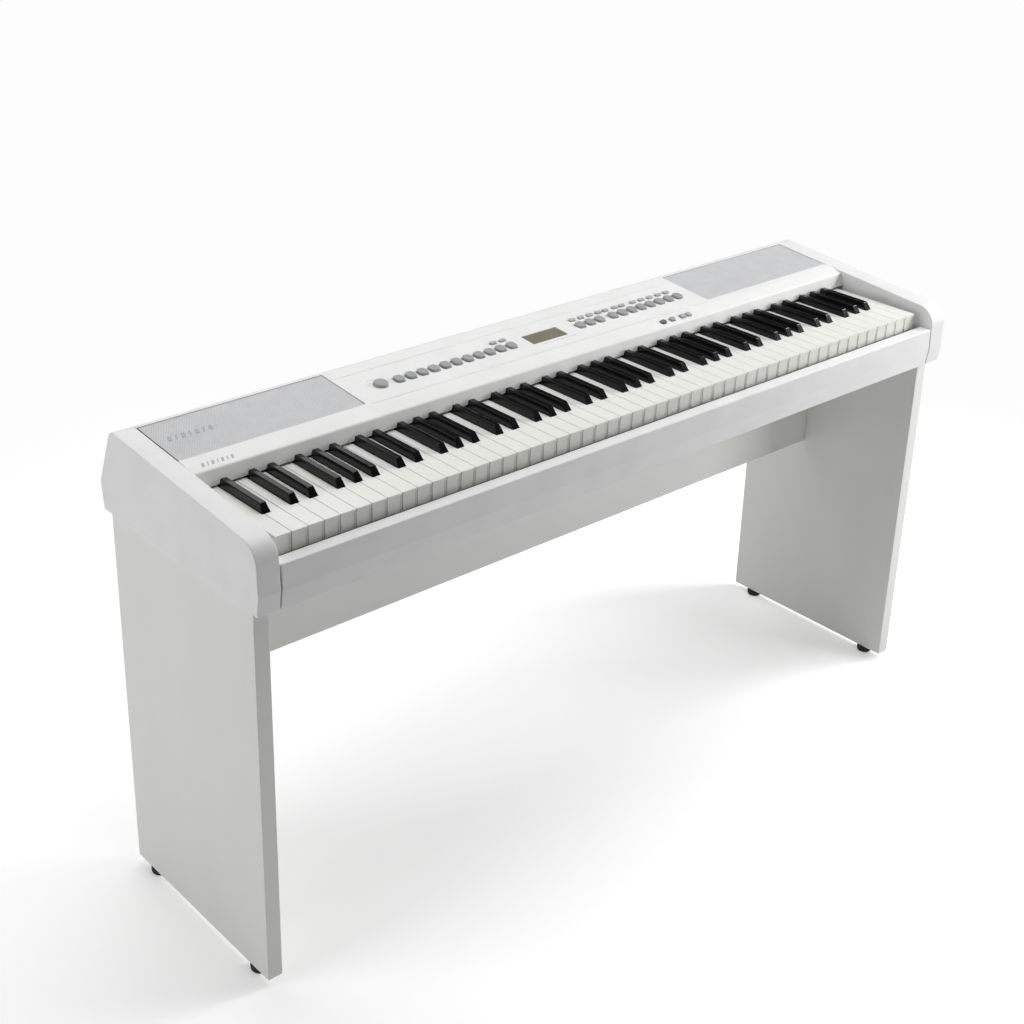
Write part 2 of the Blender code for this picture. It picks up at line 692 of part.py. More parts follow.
def feet():
    """Round glides under the side panels."""
    middle = (LEG_INNER_X + LEG_OUTER_X) / 2 - 0.0005
    top = FOOT_HEIGHT - GAP
    rings = ((FOOT_RADIUS - 0.0025, 0.0), (FOOT_RADIUS - 0.0005, 0.002), (FOOT_RADIUS, 0.006),
             (FOOT_RADIUS, top))
    places = (("front", LEG_Y[0] + FOOT_INSET), ("rear", LEG_Y[1] - FOOT_INSET))
    for side, hand in ((-1, "left"), (1, "right")):
        for end, depth in places:
            bm = bmesh.new()
            stack(bm, [(circle(radius, 24), height) for radius, height in rings],
                  centre=(side * middle, at(depth)))
            make(f"foot_{hand}_{end}", bm, RUBBER, smooth=True)


def brackets():
    """Steel angles under the case, each with a thumb screw up into the tray."""
    top = STAND_TOP
    reach = LEG_INNER_X - GAP
    half = BRACKET_LENGTH / 2
    for side, hand in ((-1, "left"), (1, "right")):
        outline = ((reach, top), (reach, top - BRACKET_SIDE), (reach - BRACKET_SHEET, top - BRACKET_SIDE),
                   (reach - BRACKET_SHEET, top - BRACKET_SHEET), (reach - BRACKET_SIDE, top - BRACKET_SHEET),
                   (reach - BRACKET_SIDE, top))
        bm = bmesh.new()
        loft(bm, [[(side * x, at(BRACKET_DEPTH) + end, z) for x, z in outline] for end in (-half, half)])
        piece = make(f"{hand}_bracket", bm, ZINC)
        centre = (side * SCREW_X, at(BRACKET_DEPTH))
        hole = bmesh.new()
        stack(hole, ((circle(SCREW_RADIUS + 0.0005), top - 0.010), (circle(SCREW_RADIUS + 0.0005), top + 0.010)),
              centre=centre)
        combine(piece, make(f"{hand}_bracket_hole", hole, ZINC), "DIFFERENCE")
        under = top - BRACKET_SHEET - GAP
        screw = bmesh.new()
        stack(screw, ((circle(SCREW_HEAD - 0.001), under - 0.010), (circle(SCREW_HEAD), under - 0.009),
                      (circle(SCREW_HEAD), under), (circle(SCREW_RADIUS), under),
                      (circle(SCREW_RADIUS), CASE_BOTTOM + 0.010)), centre=centre)
        make(f"{hand}_thumb_screw", screw, BLACK_PLASTIC, smooth=True)


def main():
    """Clear the scene and build every piece."""
    for thing in list(bpy.data.objects):
        bpy.data.objects.remove(thing)
    cheeks()
    key_slip()
    bottom_tray()
    top_panel()
    rear_cover()
    sockets()
    grilles()
    speakers()
    button_rows()
    volume_knob()
    display()
    key_frame()
    key_felt()
    contact_board()
    main_board()
    panel_board()
    keyboard()
    side_panels()
    modesty_board()
    feet()
    brackets()


main()
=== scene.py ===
"""Looks of a white digital piano on a panel stand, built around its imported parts.

Metres, +Z up, +X towards the treble end and +Y towards the back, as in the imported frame. Depths are
stated from the front edge of the white keys and heights from the floor.
"""

import json  # noqa: E402
import logging  # noqa: E402
import math  # noqa: E402
from collections.abc import Iterable, Sequence  # noqa: E402
from dataclasses import dataclass, field  # noqa: E402
from enum import Enum  # noqa: E402

import bmesh  # noqa: E402
import bpy  # noqa: E402
from mathutils import Euler, Matrix, Vector  # noqa: E402

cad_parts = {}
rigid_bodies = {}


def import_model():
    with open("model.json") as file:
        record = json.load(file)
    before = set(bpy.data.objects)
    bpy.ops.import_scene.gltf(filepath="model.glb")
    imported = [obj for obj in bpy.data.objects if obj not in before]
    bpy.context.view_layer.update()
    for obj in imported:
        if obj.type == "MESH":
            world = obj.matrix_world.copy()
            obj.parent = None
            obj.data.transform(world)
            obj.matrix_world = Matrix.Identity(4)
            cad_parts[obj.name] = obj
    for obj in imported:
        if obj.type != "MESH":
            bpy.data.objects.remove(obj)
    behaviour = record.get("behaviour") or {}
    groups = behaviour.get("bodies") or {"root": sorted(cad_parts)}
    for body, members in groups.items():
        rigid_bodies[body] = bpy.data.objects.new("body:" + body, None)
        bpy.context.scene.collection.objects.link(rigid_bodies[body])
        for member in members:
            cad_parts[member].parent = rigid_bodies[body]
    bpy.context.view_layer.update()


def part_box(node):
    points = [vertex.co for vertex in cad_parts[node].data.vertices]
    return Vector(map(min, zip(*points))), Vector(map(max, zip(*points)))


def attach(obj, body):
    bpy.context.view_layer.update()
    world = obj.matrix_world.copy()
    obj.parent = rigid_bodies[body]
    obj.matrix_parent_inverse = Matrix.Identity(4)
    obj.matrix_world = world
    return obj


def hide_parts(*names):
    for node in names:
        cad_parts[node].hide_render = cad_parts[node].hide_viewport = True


LOG = logging.getLogger("piano")
ROOT = "piano_case_and_stand"

Point = tuple[float, float]
Ring = Sequence[Sequence[float]]
Colour = tuple[float, float, float]


# --- finishes -----------------------------------------------------------------------------------
def set_sockets(node: bpy.types.Node, **values: float | Sequence[float]) -> bpy.types.Node:
    """Give a node's own sockets plain values.

    Args:
        node: the node.
        **values: socket names with _ for a space, such as base_color or coat_weight.

    Returns:
        The node.
    """
    for name, value in values.items():
        node.inputs[name.replace("_", " ").title().replace("Ior", "IOR")].default_value = value
    return node


def add_node(tree: bpy.types.NodeTree, kind: str, **values: float | Sequence[float]) -> bpy.types.Node:
    """Add a shader node, with values for its sockets."""
    return set_sockets(tree.nodes.new("ShaderNode" + kind), **values)


class Graph:
    """A material's node tree, with short calls for the nodes that the finishes share."""

    def __init__(self, name: str) -> None:
        """Start a material that holds one Principled shader.

        Args:
            name: the material's name.
        """
        self.material = bpy.data.materials.new(name)
        self.material.use_nodes = True
        self.tree = self.material.node_tree
        self.shader = self.tree.nodes["Principled BSDF"]
        self.place = self.tree.nodes.new("ShaderNodeTexCoord").outputs["Object"]

    def set(self, **values: float | Sequence[float]) -> "Graph":
        """Give the shader's own sockets plain values."""
        set_sockets(self.shader, **values)
        return self

    def noise(self, size: float, detail: float = 3.0, stretch: Sequence[float] = (1.0, 1.0, 1.0)
              ) -> bpy.types.NodeSocket:
        """Noise whose grain has a given size.

        Args:
            size: width of a grain in metres.
            detail: octaves of finer noise.
            stretch: scale of the pattern along each axis.

        Returns:
            The noise's factor output.
        """
        mapping = add_node(self.tree, "Mapping", scale=stretch)
        texture = add_node(self.tree, "TexNoise", scale=1.0 / size, detail=detail)
        self.tree.links.new(self.place, mapping.inputs["Vector"])
        self.tree.links.new(mapping.outputs["Vector"], texture.inputs["Vector"])
        return texture.outputs["Fac"]

    def cells(self, size: float) -> bpy.types.NodeSocket:
        """Distance pattern of small cells, such as a moulded spark texture.

        Args:
            size: width of a cell in metres.

        Returns:
            The pattern's distance output.
        """
        texture = add_node(self.tree, "TexVoronoi", scale=1.0 / size)
        self.tree.links.new(self.place, texture.inputs["Vector"])
        return texture.outputs["Distance"]

    def colour(self, factor: bpy.types.NodeSocket, low: Colour, high: Colour) -> "Graph":
        """Let the base colour run between two colours as a factor goes from 0.3 to 0.7.

        Args:
            factor: the socket that drives the colour.
            low: colour at the low end.
            high: colour at the high end.

        Returns:
            This graph.
        """
        ramp = add_node(self.tree, "ValToRGB")
        first, last = ramp.color_ramp.elements
        first.position, last.position = 0.3, 0.7
        first.color, last.color = (*low, 1.0), (*high, 1.0)
        self.tree.links.new(factor, ramp.inputs["Fac"])
        return self.feed("Base Color", ramp.outputs["Color"])

    def roughness(self, factor: bpy.types.NodeSocket, middle: float, swing: float) -> "Graph":
        """Let the roughness swing about a middle value as a factor goes from 0.3 to 0.7.

        Args:
            factor: the socket that drives the roughness.
            middle: value halfway.
            swing: how far it goes to each side.

        Returns:
            This graph.
        """
        node = add_node(self.tree, "MapRange", from_min=0.3, from_max=0.7,
                        to_min=middle - swing, to_max=middle + swing)
        self.tree.links.new(factor, node.inputs["Value"])
        return self.feed("Roughness", node.outputs["Result"])

    def feed(self, socket: str, output: bpy.types.NodeSocket) -> "Graph":
        """Link an output to one of the shader's sockets.

        Args:
            socket: the shader socket's name.
            output: what drives it.

        Returns:
            This graph.
        """
        self.tree.links.new(output, self.shader.inputs[socket])
        return self

    def bump(self, height: bpy.types.NodeSocket, depth: float, strength: float = 1.0) -> "Graph":
        """Add relief on top of any relief that is there already.

        Args:
            height: the socket that gives the relief.
            depth: height of the relief in metres.
            strength: share of the relief that shows.

        Returns:
            This graph.
        """
        node = add_node(self.tree, "Bump", distance=depth, strength=strength)
        before = self.shader.inputs["Normal"].links
        if before:
            self.tree.links.new(before[0].from_socket, node.inputs["Normal"])
        self.tree.links.new(height, node.inputs["Height"])
        return self.feed("Normal", node.outputs["Normal"])


def tinted(colour: Colour, factor: float) -> Colour:
    """A colour made darker or lighter."""
    return tuple(channel * factor for channel in colour)


@dataclass(frozen=True)
class MouldedPlastic:
    """Injection-moulded plastic with a fine spark texture and slight clouding."""

    name: str
    colour: Colour
    roughness: float
    slot: str
    clouding: float = 0.03
    grain: float = 0.0007
    relief: float = 0.00001

    def material(self) -> bpy.types.Material:
        """Build the material."""
        graph = Graph(self.name)
        low, high = (tinted(self.colour, 1 + change) for change in (-self.clouding, self.clouding))
        graph.colour(graph.noise(0.05, 4.0), low, high)
        graph.roughness(graph.noise(0.012), self.roughness, 0.03)
        graph.bump(graph.cells(self.grain), self.relief, 0.6)
        return graph.set(specular_ior_level=0.45).material


@dataclass(frozen=True)
class FacedBoard:
    """Fibreboard in satin white facing, with a faint roller texture along its length."""

    name: str
    colour: Colour
    slot: str
    roughness: float = 0.42

    def material(self) -> bpy.types.Material:
        """Build the material."""
        graph = Graph(self.name)
        graph.colour(graph.noise(0.08, 5.0, (1.0, 1.0, 0.35)), tinted(self.colour, 0.97), self.colour)
        graph.roughness(graph.noise(0.02), self.roughness, 0.04)
        graph.bump(graph.noise(0.0022, 3.0, (1.0, 1.0, 0.3)), 0.00003, 0.5)
        graph.bump(graph.noise(0.0005, 2.0), 0.00001, 0.4)
        return graph.set(specular_ior_level=0.4).material


@dataclass(frozen=True)
class KeyPlastic:
    """Polished key plastic: barely clouded, with hair-fine playing marks along the key."""

    name: str
    low: Colour
    high: Colour
    roughness: float
    slot: str
    specular: float = 0.5

    def material(self) -> bpy.types.Material:
        """Build the material."""
        graph = Graph(self.name)
        graph.colour(graph.noise(0.03, 4.0), self.low, self.high)
        graph.roughness(graph.noise(0.0015, 3.0, (1.0, 0.06, 1.0)), self.roughness, 0.05)
        graph.bump(graph.noise(0.0012, 3.0, (1.0, 0.15, 1.0)), 0.000006, 0.5)
        return graph.set(specular_ior_level=self.specular).material


@dataclass(frozen=True)
class SheetMetal:
    """Rolled or plated sheet with a directional grain."""

    name: str
    colour: Colour
    roughness: float
    metallic: float
    slot: str
    grain: Sequence[float] = (0.05, 1.0, 1.0)

    def material(self) -> bpy.types.Material:
        """Build the material."""
        graph = Graph(self.name)
        grain = graph.noise(0.0012, 4.0, self.grain)
        graph.colour(graph.noise(0.02, 4.0), tinted(self.colour, 0.93), self.colour)
        graph.roughness(grain, self.roughness, 0.06)
        graph.bump(grain, 0.00001, 0.5)
        return graph.set(metallic=self.metallic).material


@dataclass(frozen=True)
class Cloth:
    """Woven or felted fabric, from two crossing sets of threads."""

    name: str
    colour: Colour
    thread: float
    slot: str

    def material(self) -> bpy.types.Material:
        """Build the material."""
        graph = Graph(self.name)
        across = graph.noise(self.thread, 2.0, (1.0, 0.12, 1.0))
        along = graph.noise(self.thread, 2.0, (0.12, 1.0, 1.0))
        graph.colour(across, tinted(self.colour, 0.6), self.colour)
        graph.bump(across, 0.0002, 0.6).bump(along, 0.0002, 0.6)
        return graph.set(roughness=0.95, sheen_weight=0.3).material


@dataclass(frozen=True)
class SoftRubber:
    """Dull rubber with moulding grain and scattered lighter dust."""

    name: str
    colour: Colour
    slot: str

    def material(self) -> bpy.types.Material:
        """Build the material."""
        graph = Graph(self.name)
        dust = tuple(channel + 0.02 for channel in self.colour)
        graph.colour(graph.noise(0.004, 4.0), self.colour, dust)
        graph.roughness(graph.noise(0.003), 0.65, 0.10)
        graph.bump(graph.noise(0.0006, 3.0), 0.00004, 0.6)
        return graph.set(specular_ior_level=0.3).material


@dataclass(frozen=True)
class CircuitLacquer:
    """Solder resist over copper tracks."""

    name: str
    resist: Colour
    track: Colour
    slot: str

    def material(self) -> bpy.types.Material:
        """Build the material."""
        graph = Graph(self.name)
        tracks = graph.cells(0.006)
        graph.colour(tracks, self.track, self.resist)
        graph.bump(tracks, 0.00005, 0.5)
        return graph.set(roughness=0.35, coat_weight=0.4, coat_roughness=0.2).material


@dataclass(frozen=True)
class TintedWindow:
    """Smoky window over an unlit liquid-crystal panel, seen as one faintly banded sheet."""

    name: str
    low: Colour
    high: Colour
    slot: str

    def material(self) -> bpy.types.Material:
        """Build the material."""
        graph = Graph(self.name)
        graph.colour(graph.noise(0.05, 2.0), self.low, self.high)
        graph.roughness(graph.noise(0.02), 0.31, 0.01)
        graph.bump(graph.noise(0.0008, 1.0, (1.0, 0.05, 1.0)), 0.0000005, 0.4)
        return graph.set(specular_ior_level=0.5, coat_weight=0.3, coat_roughness=0.08).material


class Finish(Enum):
    """Every finish on the piano."""

    CASE = MouldedPlastic("shell_white", (0.785, 0.79, 0.785), 0.40, "case_white")
    PANEL = MouldedPlastic("panel_white", (0.80, 0.805, 0.795), 0.42, "case_white")
    BOARD = FacedBoard("stand_white", (0.775, 0.78, 0.755), "stand_board")
    TRAY = FacedBoard("tray_white", (0.66, 0.66, 0.65), "stand_board", 0.55)
    IVORY = KeyPlastic("ivory_key", (0.825, 0.835, 0.79), (0.86, 0.865, 0.825), 0.32, "white_key")
    EBONY = KeyPlastic("ebony_key", (0.0045, 0.0045, 0.005), (0.007, 0.007, 0.008), 0.17, "black_key", 0.28)
    GRILLE = SheetMetal("grille_silver", (0.655, 0.658, 0.678), 0.50, 0.15, "grille_mesh")
    CLOTH = Cloth("speaker_cloth", (0.56, 0.56, 0.575), 0.0008, "felt")
    BUTTON = MouldedPlastic("cap_grey", (0.345, 0.357, 0.355), 0.38, "button_grey", 0.04, 0.0005)
    PALE_BUTTON = MouldedPlastic("cap_pale", (0.45, 0.457, 0.455), 0.40, "button_grey", 0.04, 0.0005)
    DARK_BUTTON = MouldedPlastic("cap_dark", (0.14, 0.145, 0.145), 0.40, "button_grey", 0.04, 0.0005)
    WINDOW = TintedWindow("smoked_window", (0.200, 0.178, 0.134), (0.240, 0.215, 0.165), "display_window")
    CIRCUIT = CircuitLacquer("circuit_green", (0.02, 0.13, 0.06), (0.06, 0.26, 0.11), "circuit_board")
    # black_moulding is the real black of speakers, screws and jacks, and painted shade on the grille gap
    # strips and button strips
    BLACK = MouldedPlastic("black_moulding", (0.022, 0.022, 0.023), 0.45, "black_plastic", 0.10, 0.0005)
    RUBBER = SoftRubber("glide_rubber", (0.012, 0.012, 0.012), "foot_rubber")
    FELT = Cloth("red_felt", (0.34, 0.035, 0.04), 0.0004, "felt")
    ZINC = SheetMetal("zinc_plate", (0.60, 0.61, 0.62), 0.34, 1.0, "zinc_steel")
    PRINT = MouldedPlastic("grey_print", (0.42, 0.43, 0.45), 0.60, "button_grey", 0.02, 0.0010)

    @property
    def material(self) -> bpy.types.Material:
        """The finish's material, built once."""
        return bpy.data.materials.get(self.value.name) or self.value.material()

    @staticmethod
    def of(piece: bpy.types.Object) -> "Finish":
        """The finish that a piece is made of."""
        name = piece.data.materials[0].name
        return next(finish for finish in Finish if finish.value.name == name)


# --- shapes -------------------------------------------------------------------------------------
def fillet(corners: Sequence[tuple[Point, float]], segments: int = 8) -> list[Point]:
    """Round the corners of a closed outline.

    Args:
        corners: each corner with its radius. A radius of 0 keeps the corner.
        segments: steps in each rounding.

    Returns:
        The outline's points in order.
    """
    points: list[Point] = []
    count = len(corners)
    for index, (corner, radius) in enumerate(corners):
        here = Vector(corner)
        if radius == 0.0:
            points.append((here.x, here.y))
            continue
        before = (Vector(corners[index - 1][0]) - here).normalized()
        after = (Vector(corners[(index + 1) % count][0]) - here).normalized()
        half = before.angle(after) / 2
        centre = here + (before + after).normalized() * radius / math.sin(half)
        start = here + before * radius / math.tan(half) - centre
        turn = (math.pi - 2 * half) * (1 if before.x * after.y > before.y * after.x else -1)
        for step in range(segments + 1):
            cos, sin = math.cos(-turn * step / segments), math.sin(-turn * step / segments)
            points.append((centre.x + start.x * cos - start.y * sin,
                           centre.y + start.x * sin + start.y * cos))
    return points


def plate(half_x: float, half_y: float, radius: float, segments: int = 5) -> list[Point]:
    """Outline of a rectangle with rounded corners, centred on the origin."""
    corners = ((-half_x, -half_y), (half_x, -half_y), (half_x, half_y), (-half_x, half_y))
    return fillet([(corner, radius) for corner in corners], segments)


def circle(radius: float, sides: int = 48) -> list[Point]:
    """Outline of a circle, centred on the origin."""
    turns = [2 * math.pi * index / sides for index in range(sides)]
    return [(radius * math.cos(turn), radius * math.sin(turn)) for turn in turns]


def inward(path: Sequence[Point], thickness: float) -> list[Point]:
    """Line at a distance to the right of an open path, with mitred corners.

    Args:
        path: the path's points in order.
        thickness: how far the new line lies from it.

    Returns:
        The new line's points, in the path's order.
    """
    line: list[Point] = []
    last = len(path) - 1
    for index, point in enumerate(path):
        here = Vector(point)
        steps = (here - Vector(path[max(index - 1, 0)]), Vector(path[min(index + 1, last)]) - here)
        ways = [step.normalized() for step in steps if step.length > 0]
        mean = sum(ways, Vector((0.0, 0.0))).normalized()
        side = Vector((mean.y, -mean.x))
        moved = here + side * thickness / side.dot(Vector((ways[0].y, -ways[0].x)))
        line.append((moved.x, moved.y))
    return line


class Solid:
    """A mesh under construction."""

    def __init__(self) -> None:
        """Start an empty mesh."""
        self.bm = bmesh.new()

    def loft(self, rings: Sequence[Ring]) -> "Solid":
        """Add a closed skin through rings of points, capped at both ends.

        Args:
            rings: loops of points, all with the same count.

        Returns:
            This solid.
        """
        loops = [[self.bm.verts.new(point) for point in ring] for ring in rings]
        self.skin(loops, loops[1:])
        self.bm.faces.new(loops[0])
        self.bm.faces.new(loops[-1])
        return self

    def stack(self, sections: Iterable[tuple[Sequence[Point], float]], centre: Point = (0.0, 0.0)) -> "Solid":
        """Loft plan outlines, each paired with its height."""
        return self.loft([[(x + centre[0], y + centre[1], z) for x, y in outline] for outline, z in sections])

    def slab(self, outline: Sequence[Point], low: float, high: float) -> "Solid":
        """Extrude a plan outline between two heights."""
        return self.stack(((outline, low), (outline, high)))

    def bar(self, outline: Sequence[Point], left: float, right: float) -> "Solid":
        """Extrude a side outline of (y, z) points along X."""
        return self.loft([[(x, y, z) for y, z in outline] for x in (left, right)])

    def shell(self, path: Sequence[Point], wall: float, left: float, right: float) -> "Solid":
        """Extrude an open side line of (y, z) points along X, with an even wall inside it."""
        return self.bar([*path, *reversed(inward(path, wall))], left, right)

    def block(self, low: Sequence[float], high: Sequence[float]) -> "Solid":
        """Add a plain block between two corners, as a tool or a base for bevels."""
        outline = ((low[1], low[2]), (high[1], low[2]), (high[1], high[2]), (low[1], high[2]))
        return self.bar(outline, low[0], high[0])

    def turn(self, profile: Iterable[Point], sides: int = 48, centre: Point = (0.0, 0.0)) -> "Solid":
        """Add a turned shape from (radius, height) pairs."""
        return self.stack([(circle(radius, sides), height) for radius, height in profile], centre)

    def place(self, matrix: Matrix) -> "Solid":
        """Move everything drawn so far."""
        bmesh.ops.transform(self.bm, matrix=matrix, verts=self.bm.verts)
        return self

    def add(self, other: "Solid") -> "Solid":
        """Take over the mesh of another solid, which is used up."""
        mesh = bpy.data.meshes.new("part")
        other.bm.to_mesh(mesh)
        other.bm.free()
        self.bm.from_mesh(mesh)
        bpy.data.meshes.remove(mesh)
        return self

    def band(self, rings: Sequence[Ring]) -> "Solid":
        """Add a skin through rings of points that closes on its first ring, such as a frame."""
        loops = [[self.bm.verts.new(point) for point in ring] for ring in rings]
        self.skin(loops, loops[1:] + loops[:1])
        return self

    def skin(self, loops: Sequence[Sequence[bmesh.types.BMVert]],
             followers: Sequence[Sequence[bmesh.types.BMVert]]) -> None:
        """Fill the strips between loops and those that follow them."""
        count = len(loops[0])
        for first, second in zip(loops, followers):
            for index in range(count):
                after = (index + 1) % count
                self.bm.faces.new((first[index], first[after], second[after], second[index]))

    def piece(self, name: str, finish: Finish, sharp: float = 32.0) -> bpy.types.Object:
        """Close the mesh and make it an object.

        Args:
            name: the object's name.
            finish: what it is made of.
            sharp: edges that turn more than this many degrees stay crisp.

        Returns:
            The new object.
        """
        bmesh.ops.recalc_face_normals(self.bm, faces=self.bm.faces)
        mesh = bpy.data.meshes.new(name)
        self.bm.to_mesh(mesh)
        self.bm.free()
        shade(mesh, sharp)
        mesh.materials.append(finish.material)
        made = bpy.data.objects.new(name, mesh)
        bpy.context.collection.objects.link(made)
        return made


def shade(mesh: bpy.types.Mesh, sharp: float = 32.0) -> None:
    """Shade a mesh smooth, apart from edges that turn more than this many degrees."""
    mesh.shade_smooth()
    mesh.set_sharp_from_angle(angle=math.radians(sharp))


def soften(piece: bpy.types.Object, width: float, segments: int = 2, limit: float = 32.0) -> bpy.types.Object:
    """Round a piece's crisp edges and keep its flat faces flat.

    Args:
        piece: the object.
        width: width of the rounding.
        segments: steps in the rounding.
        limit: edges that turn more than this many degrees are rounded.

    Returns:
        The piece.
    """
    bevel = piece.modifiers.new("rounding", "BEVEL")
    bevel.width = width
    bevel.segments = segments
    bevel.limit_method = "ANGLE"
    bevel.angle_limit = math.radians(limit)
    bevel.miter_outer = "MITER_ARC"
    weighted = piece.modifiers.new("flat faces", "WEIGHTED_NORMAL")
    weighted.keep_sharp = True
    return piece


def carve(piece: bpy.types.Object, tool: bpy.types.Object) -> bpy.types.Object:
    """Cut a piece at once and drop the tool.

    Args:
        piece: the object to change.
        tool: the closed mesh that is taken away from it.

    Returns:
        The piece.
    """
    modifier = piece.modifiers.new("carve", "BOOLEAN")
    modifier.object = tool
    modifier.operation = "DIFFERENCE"
    modifier.solver = "EXACT"
    evaluated = piece.evaluated_get(bpy.context.evaluated_depsgraph_get())
    mesh = bpy.data.meshes.new_from_object(evaluated)
    piece.modifiers.remove(modifier)
    before = piece.data
    piece.data = mesh
    mesh.name = piece.name
    shade(mesh)
    bpy.data.meshes.remove(before)
    bpy.data.objects.remove(tool)
    return piece


def mount(piece: bpy.types.Object, body: str = ROOT, replaces: Sequence[str] = ()) -> bpy.types.Object:
    """Hang a finished piece on its body and report it.

    Args:
        piece: the object, where it belongs at rest.
        body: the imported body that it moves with.
        replaces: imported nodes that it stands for.

    Returns:
        The piece.
    """
    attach(piece, body)
    if replaces:
        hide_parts(*replaces)
    Finish.of(piece).value.slot
    LOG.info("%s on %s, %d vertices", piece.name, body, len(piece.data.vertices))
    return piece


def middle(low: Vector, high: Vector) -> tuple[float, float, float]:
    """Point halfway between two corners."""
    return (low.x + high.x) / 2, (low.y + high.y) / 2, (low.z + high.z) / 2


# --- datums -------------------------------------------------------------------------------------
@dataclass(frozen=True)
class Datums:
    """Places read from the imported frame, from which everything else is set out."""

    key_front: float
    key_top: float
    key_bottom: float
    keys_left: float
    keys_right: float
    case_half: float
    cheek_inner: float
    case_bottom: float

    @staticmethod
    def read() -> "Datums":
        """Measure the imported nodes."""
        low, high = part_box("white_keys_octave_1")
        return Datums(
            key_front=low.y, key_top=high.z, key_bottom=low.z,
            keys_left=low.x, keys_right=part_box("white_keys_octave_7")[1].x,
            case_half=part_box("right_cheek")[1].x, cheek_inner=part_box("right_cheek")[0].x,
            case_bottom=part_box("right_cheek")[0].z,
        )

    def at(self, depth: float) -> float:
        """Y of a depth measured from the front edge of the white keys."""
        return self.key_front + depth


@dataclass(frozen=True)
class SideLine:
    """Side outline of the case: each corner as (depth, height), and the radii between them."""

    datums: Datums
    toe: float = -0.0235
    ridge: Point = (-0.0275, 0.590)
    top_front: Point = (-0.0250, 0.6555)
    top_rear: Point = (0.3036, 0.6863)
    bulge: Point = (0.3380, 0.6044)
    heel: float = 0.3336
    nose_radius: float = 0.030
    rear_radius: float = 0.014
    bulge_radius: float = 0.008
    fascia_low: Point = (0.1528, 0.6490)
    nose: Point = (0.1588, 0.6692)
    nose_bend: float = 0.0045
    crest: float = 0.1800
    crest_bend: float = 0.060
    seam: float = 0.020

    @property
    def top_slope(self) -> float:
        """Angle of the sloping top."""
        return math.atan2(self.top_rear[1] - self.top_front[1], self.top_rear[0] - self.top_front[0])

    @property
    def crest_height(self) -> float:
        """Height of the line where the front strip meets the sloping top."""
        return self.top_front[1] + (self.crest - self.top_front[0]) * math.tan(self.top_slope)

    def slope(self, depth: float) -> float:
        """Slope of the control panel at a depth: steeper on its front strip."""
        if depth >= self.crest:
            return self.top_slope
        return math.atan2(self.crest_height - self.nose[1], self.crest - self.nose[0])

    def top(self, depth: float) -> float:
        """Height of the control panel at a depth."""
        return self.crest_height + (depth - self.crest) * math.tan(self.slope(depth))

    def shifted(self, outline: Iterable[Point]) -> list[Point]:
        """Turn (depth, height) points into (y, z) points."""
        return [(self.datums.at(depth), height) for depth, height in outline]

    def cheek(self) -> list[Point]:
        """Whole outline of an end cheek."""
        bottom = self.datums.case_bottom
        return self.shifted(fillet((
            ((self.toe, bottom), 0.0), (self.ridge, 0.004), (self.top_front, self.nose_radius),
            (self.top_rear, self.rear_radius), (self.bulge, self.bulge_radius), ((self.heel, bottom), 0.0),
        ), 14))

    def down_the_back(self, distance: float) -> Point:
        """Point on the sloping back, a distance below its top corner."""
        along = (Vector(self.bulge) - Vector(self.top_rear)).normalized()
        place = Vector(self.top_rear) + along * distance
        return place.x, place.y

    def upper(self) -> list[Point]:
        """Outer line of the top panel, from the fascia's lower edge round to the back."""
        return self.shifted(fillet((
            (self.fascia_low, 0.0), (self.nose, self.nose_bend),
            ((self.crest, self.crest_height), self.crest_bend),
            (self.top_rear, self.rear_radius), (self.down_the_back(self.seam), 0.0),
        ), 12))

    def rear(self) -> list[Point]:
        """Outer line of the rear cover, from the top panel's seam down to the tray."""
        return self.shifted(fillet((
            (self.down_the_back(self.seam + 0.0008), 0.0), (self.bulge, self.bulge_radius),
            ((self.heel, self.datums.case_bottom), 0.0),
        ), 8))

    def on_top(self, x: float, depth: float, lift: float = 0.0) -> Matrix:
        """Placement of something that sits square on the control panel.

        Args:
            x: its place along the keyboard.
            depth: its depth.
            lift: how far it stands off the surface.

        Returns:
            The matrix that moves it there from the origin.
        """
        turn = Euler((self.slope(depth), 0.0, 0.0)).to_matrix().to_4x4()
        start = Matrix.Translation((x, self.datums.at(depth), self.top(depth)))
        return start @ turn @ Matrix.Translation((0.0, 0.0, lift))


# --- case ---------------------------------------------------------------------------------------
@dataclass(frozen=True)
class ButtonRow:
    """A row of button caps that share one moving strip."""

    node: str
    places: tuple[float, ...]
    depth: float
    half: Point
    radius: float
    finishes: tuple[Finish, ...]
    rise: float = 0.0040
    clearance: float = 0.0009

    def hole(self) -> list[Point]:
        """Outline of the hole round a cap."""
        return plate(self.half[0] + self.clearance, self.half[1] + self.clearance, self.radius)


def spread(first: float, pitch: float, count: int) -> tuple[float, ...]:
    """Evenly pitched places."""
    return tuple(first + pitch * index for index in range(count))


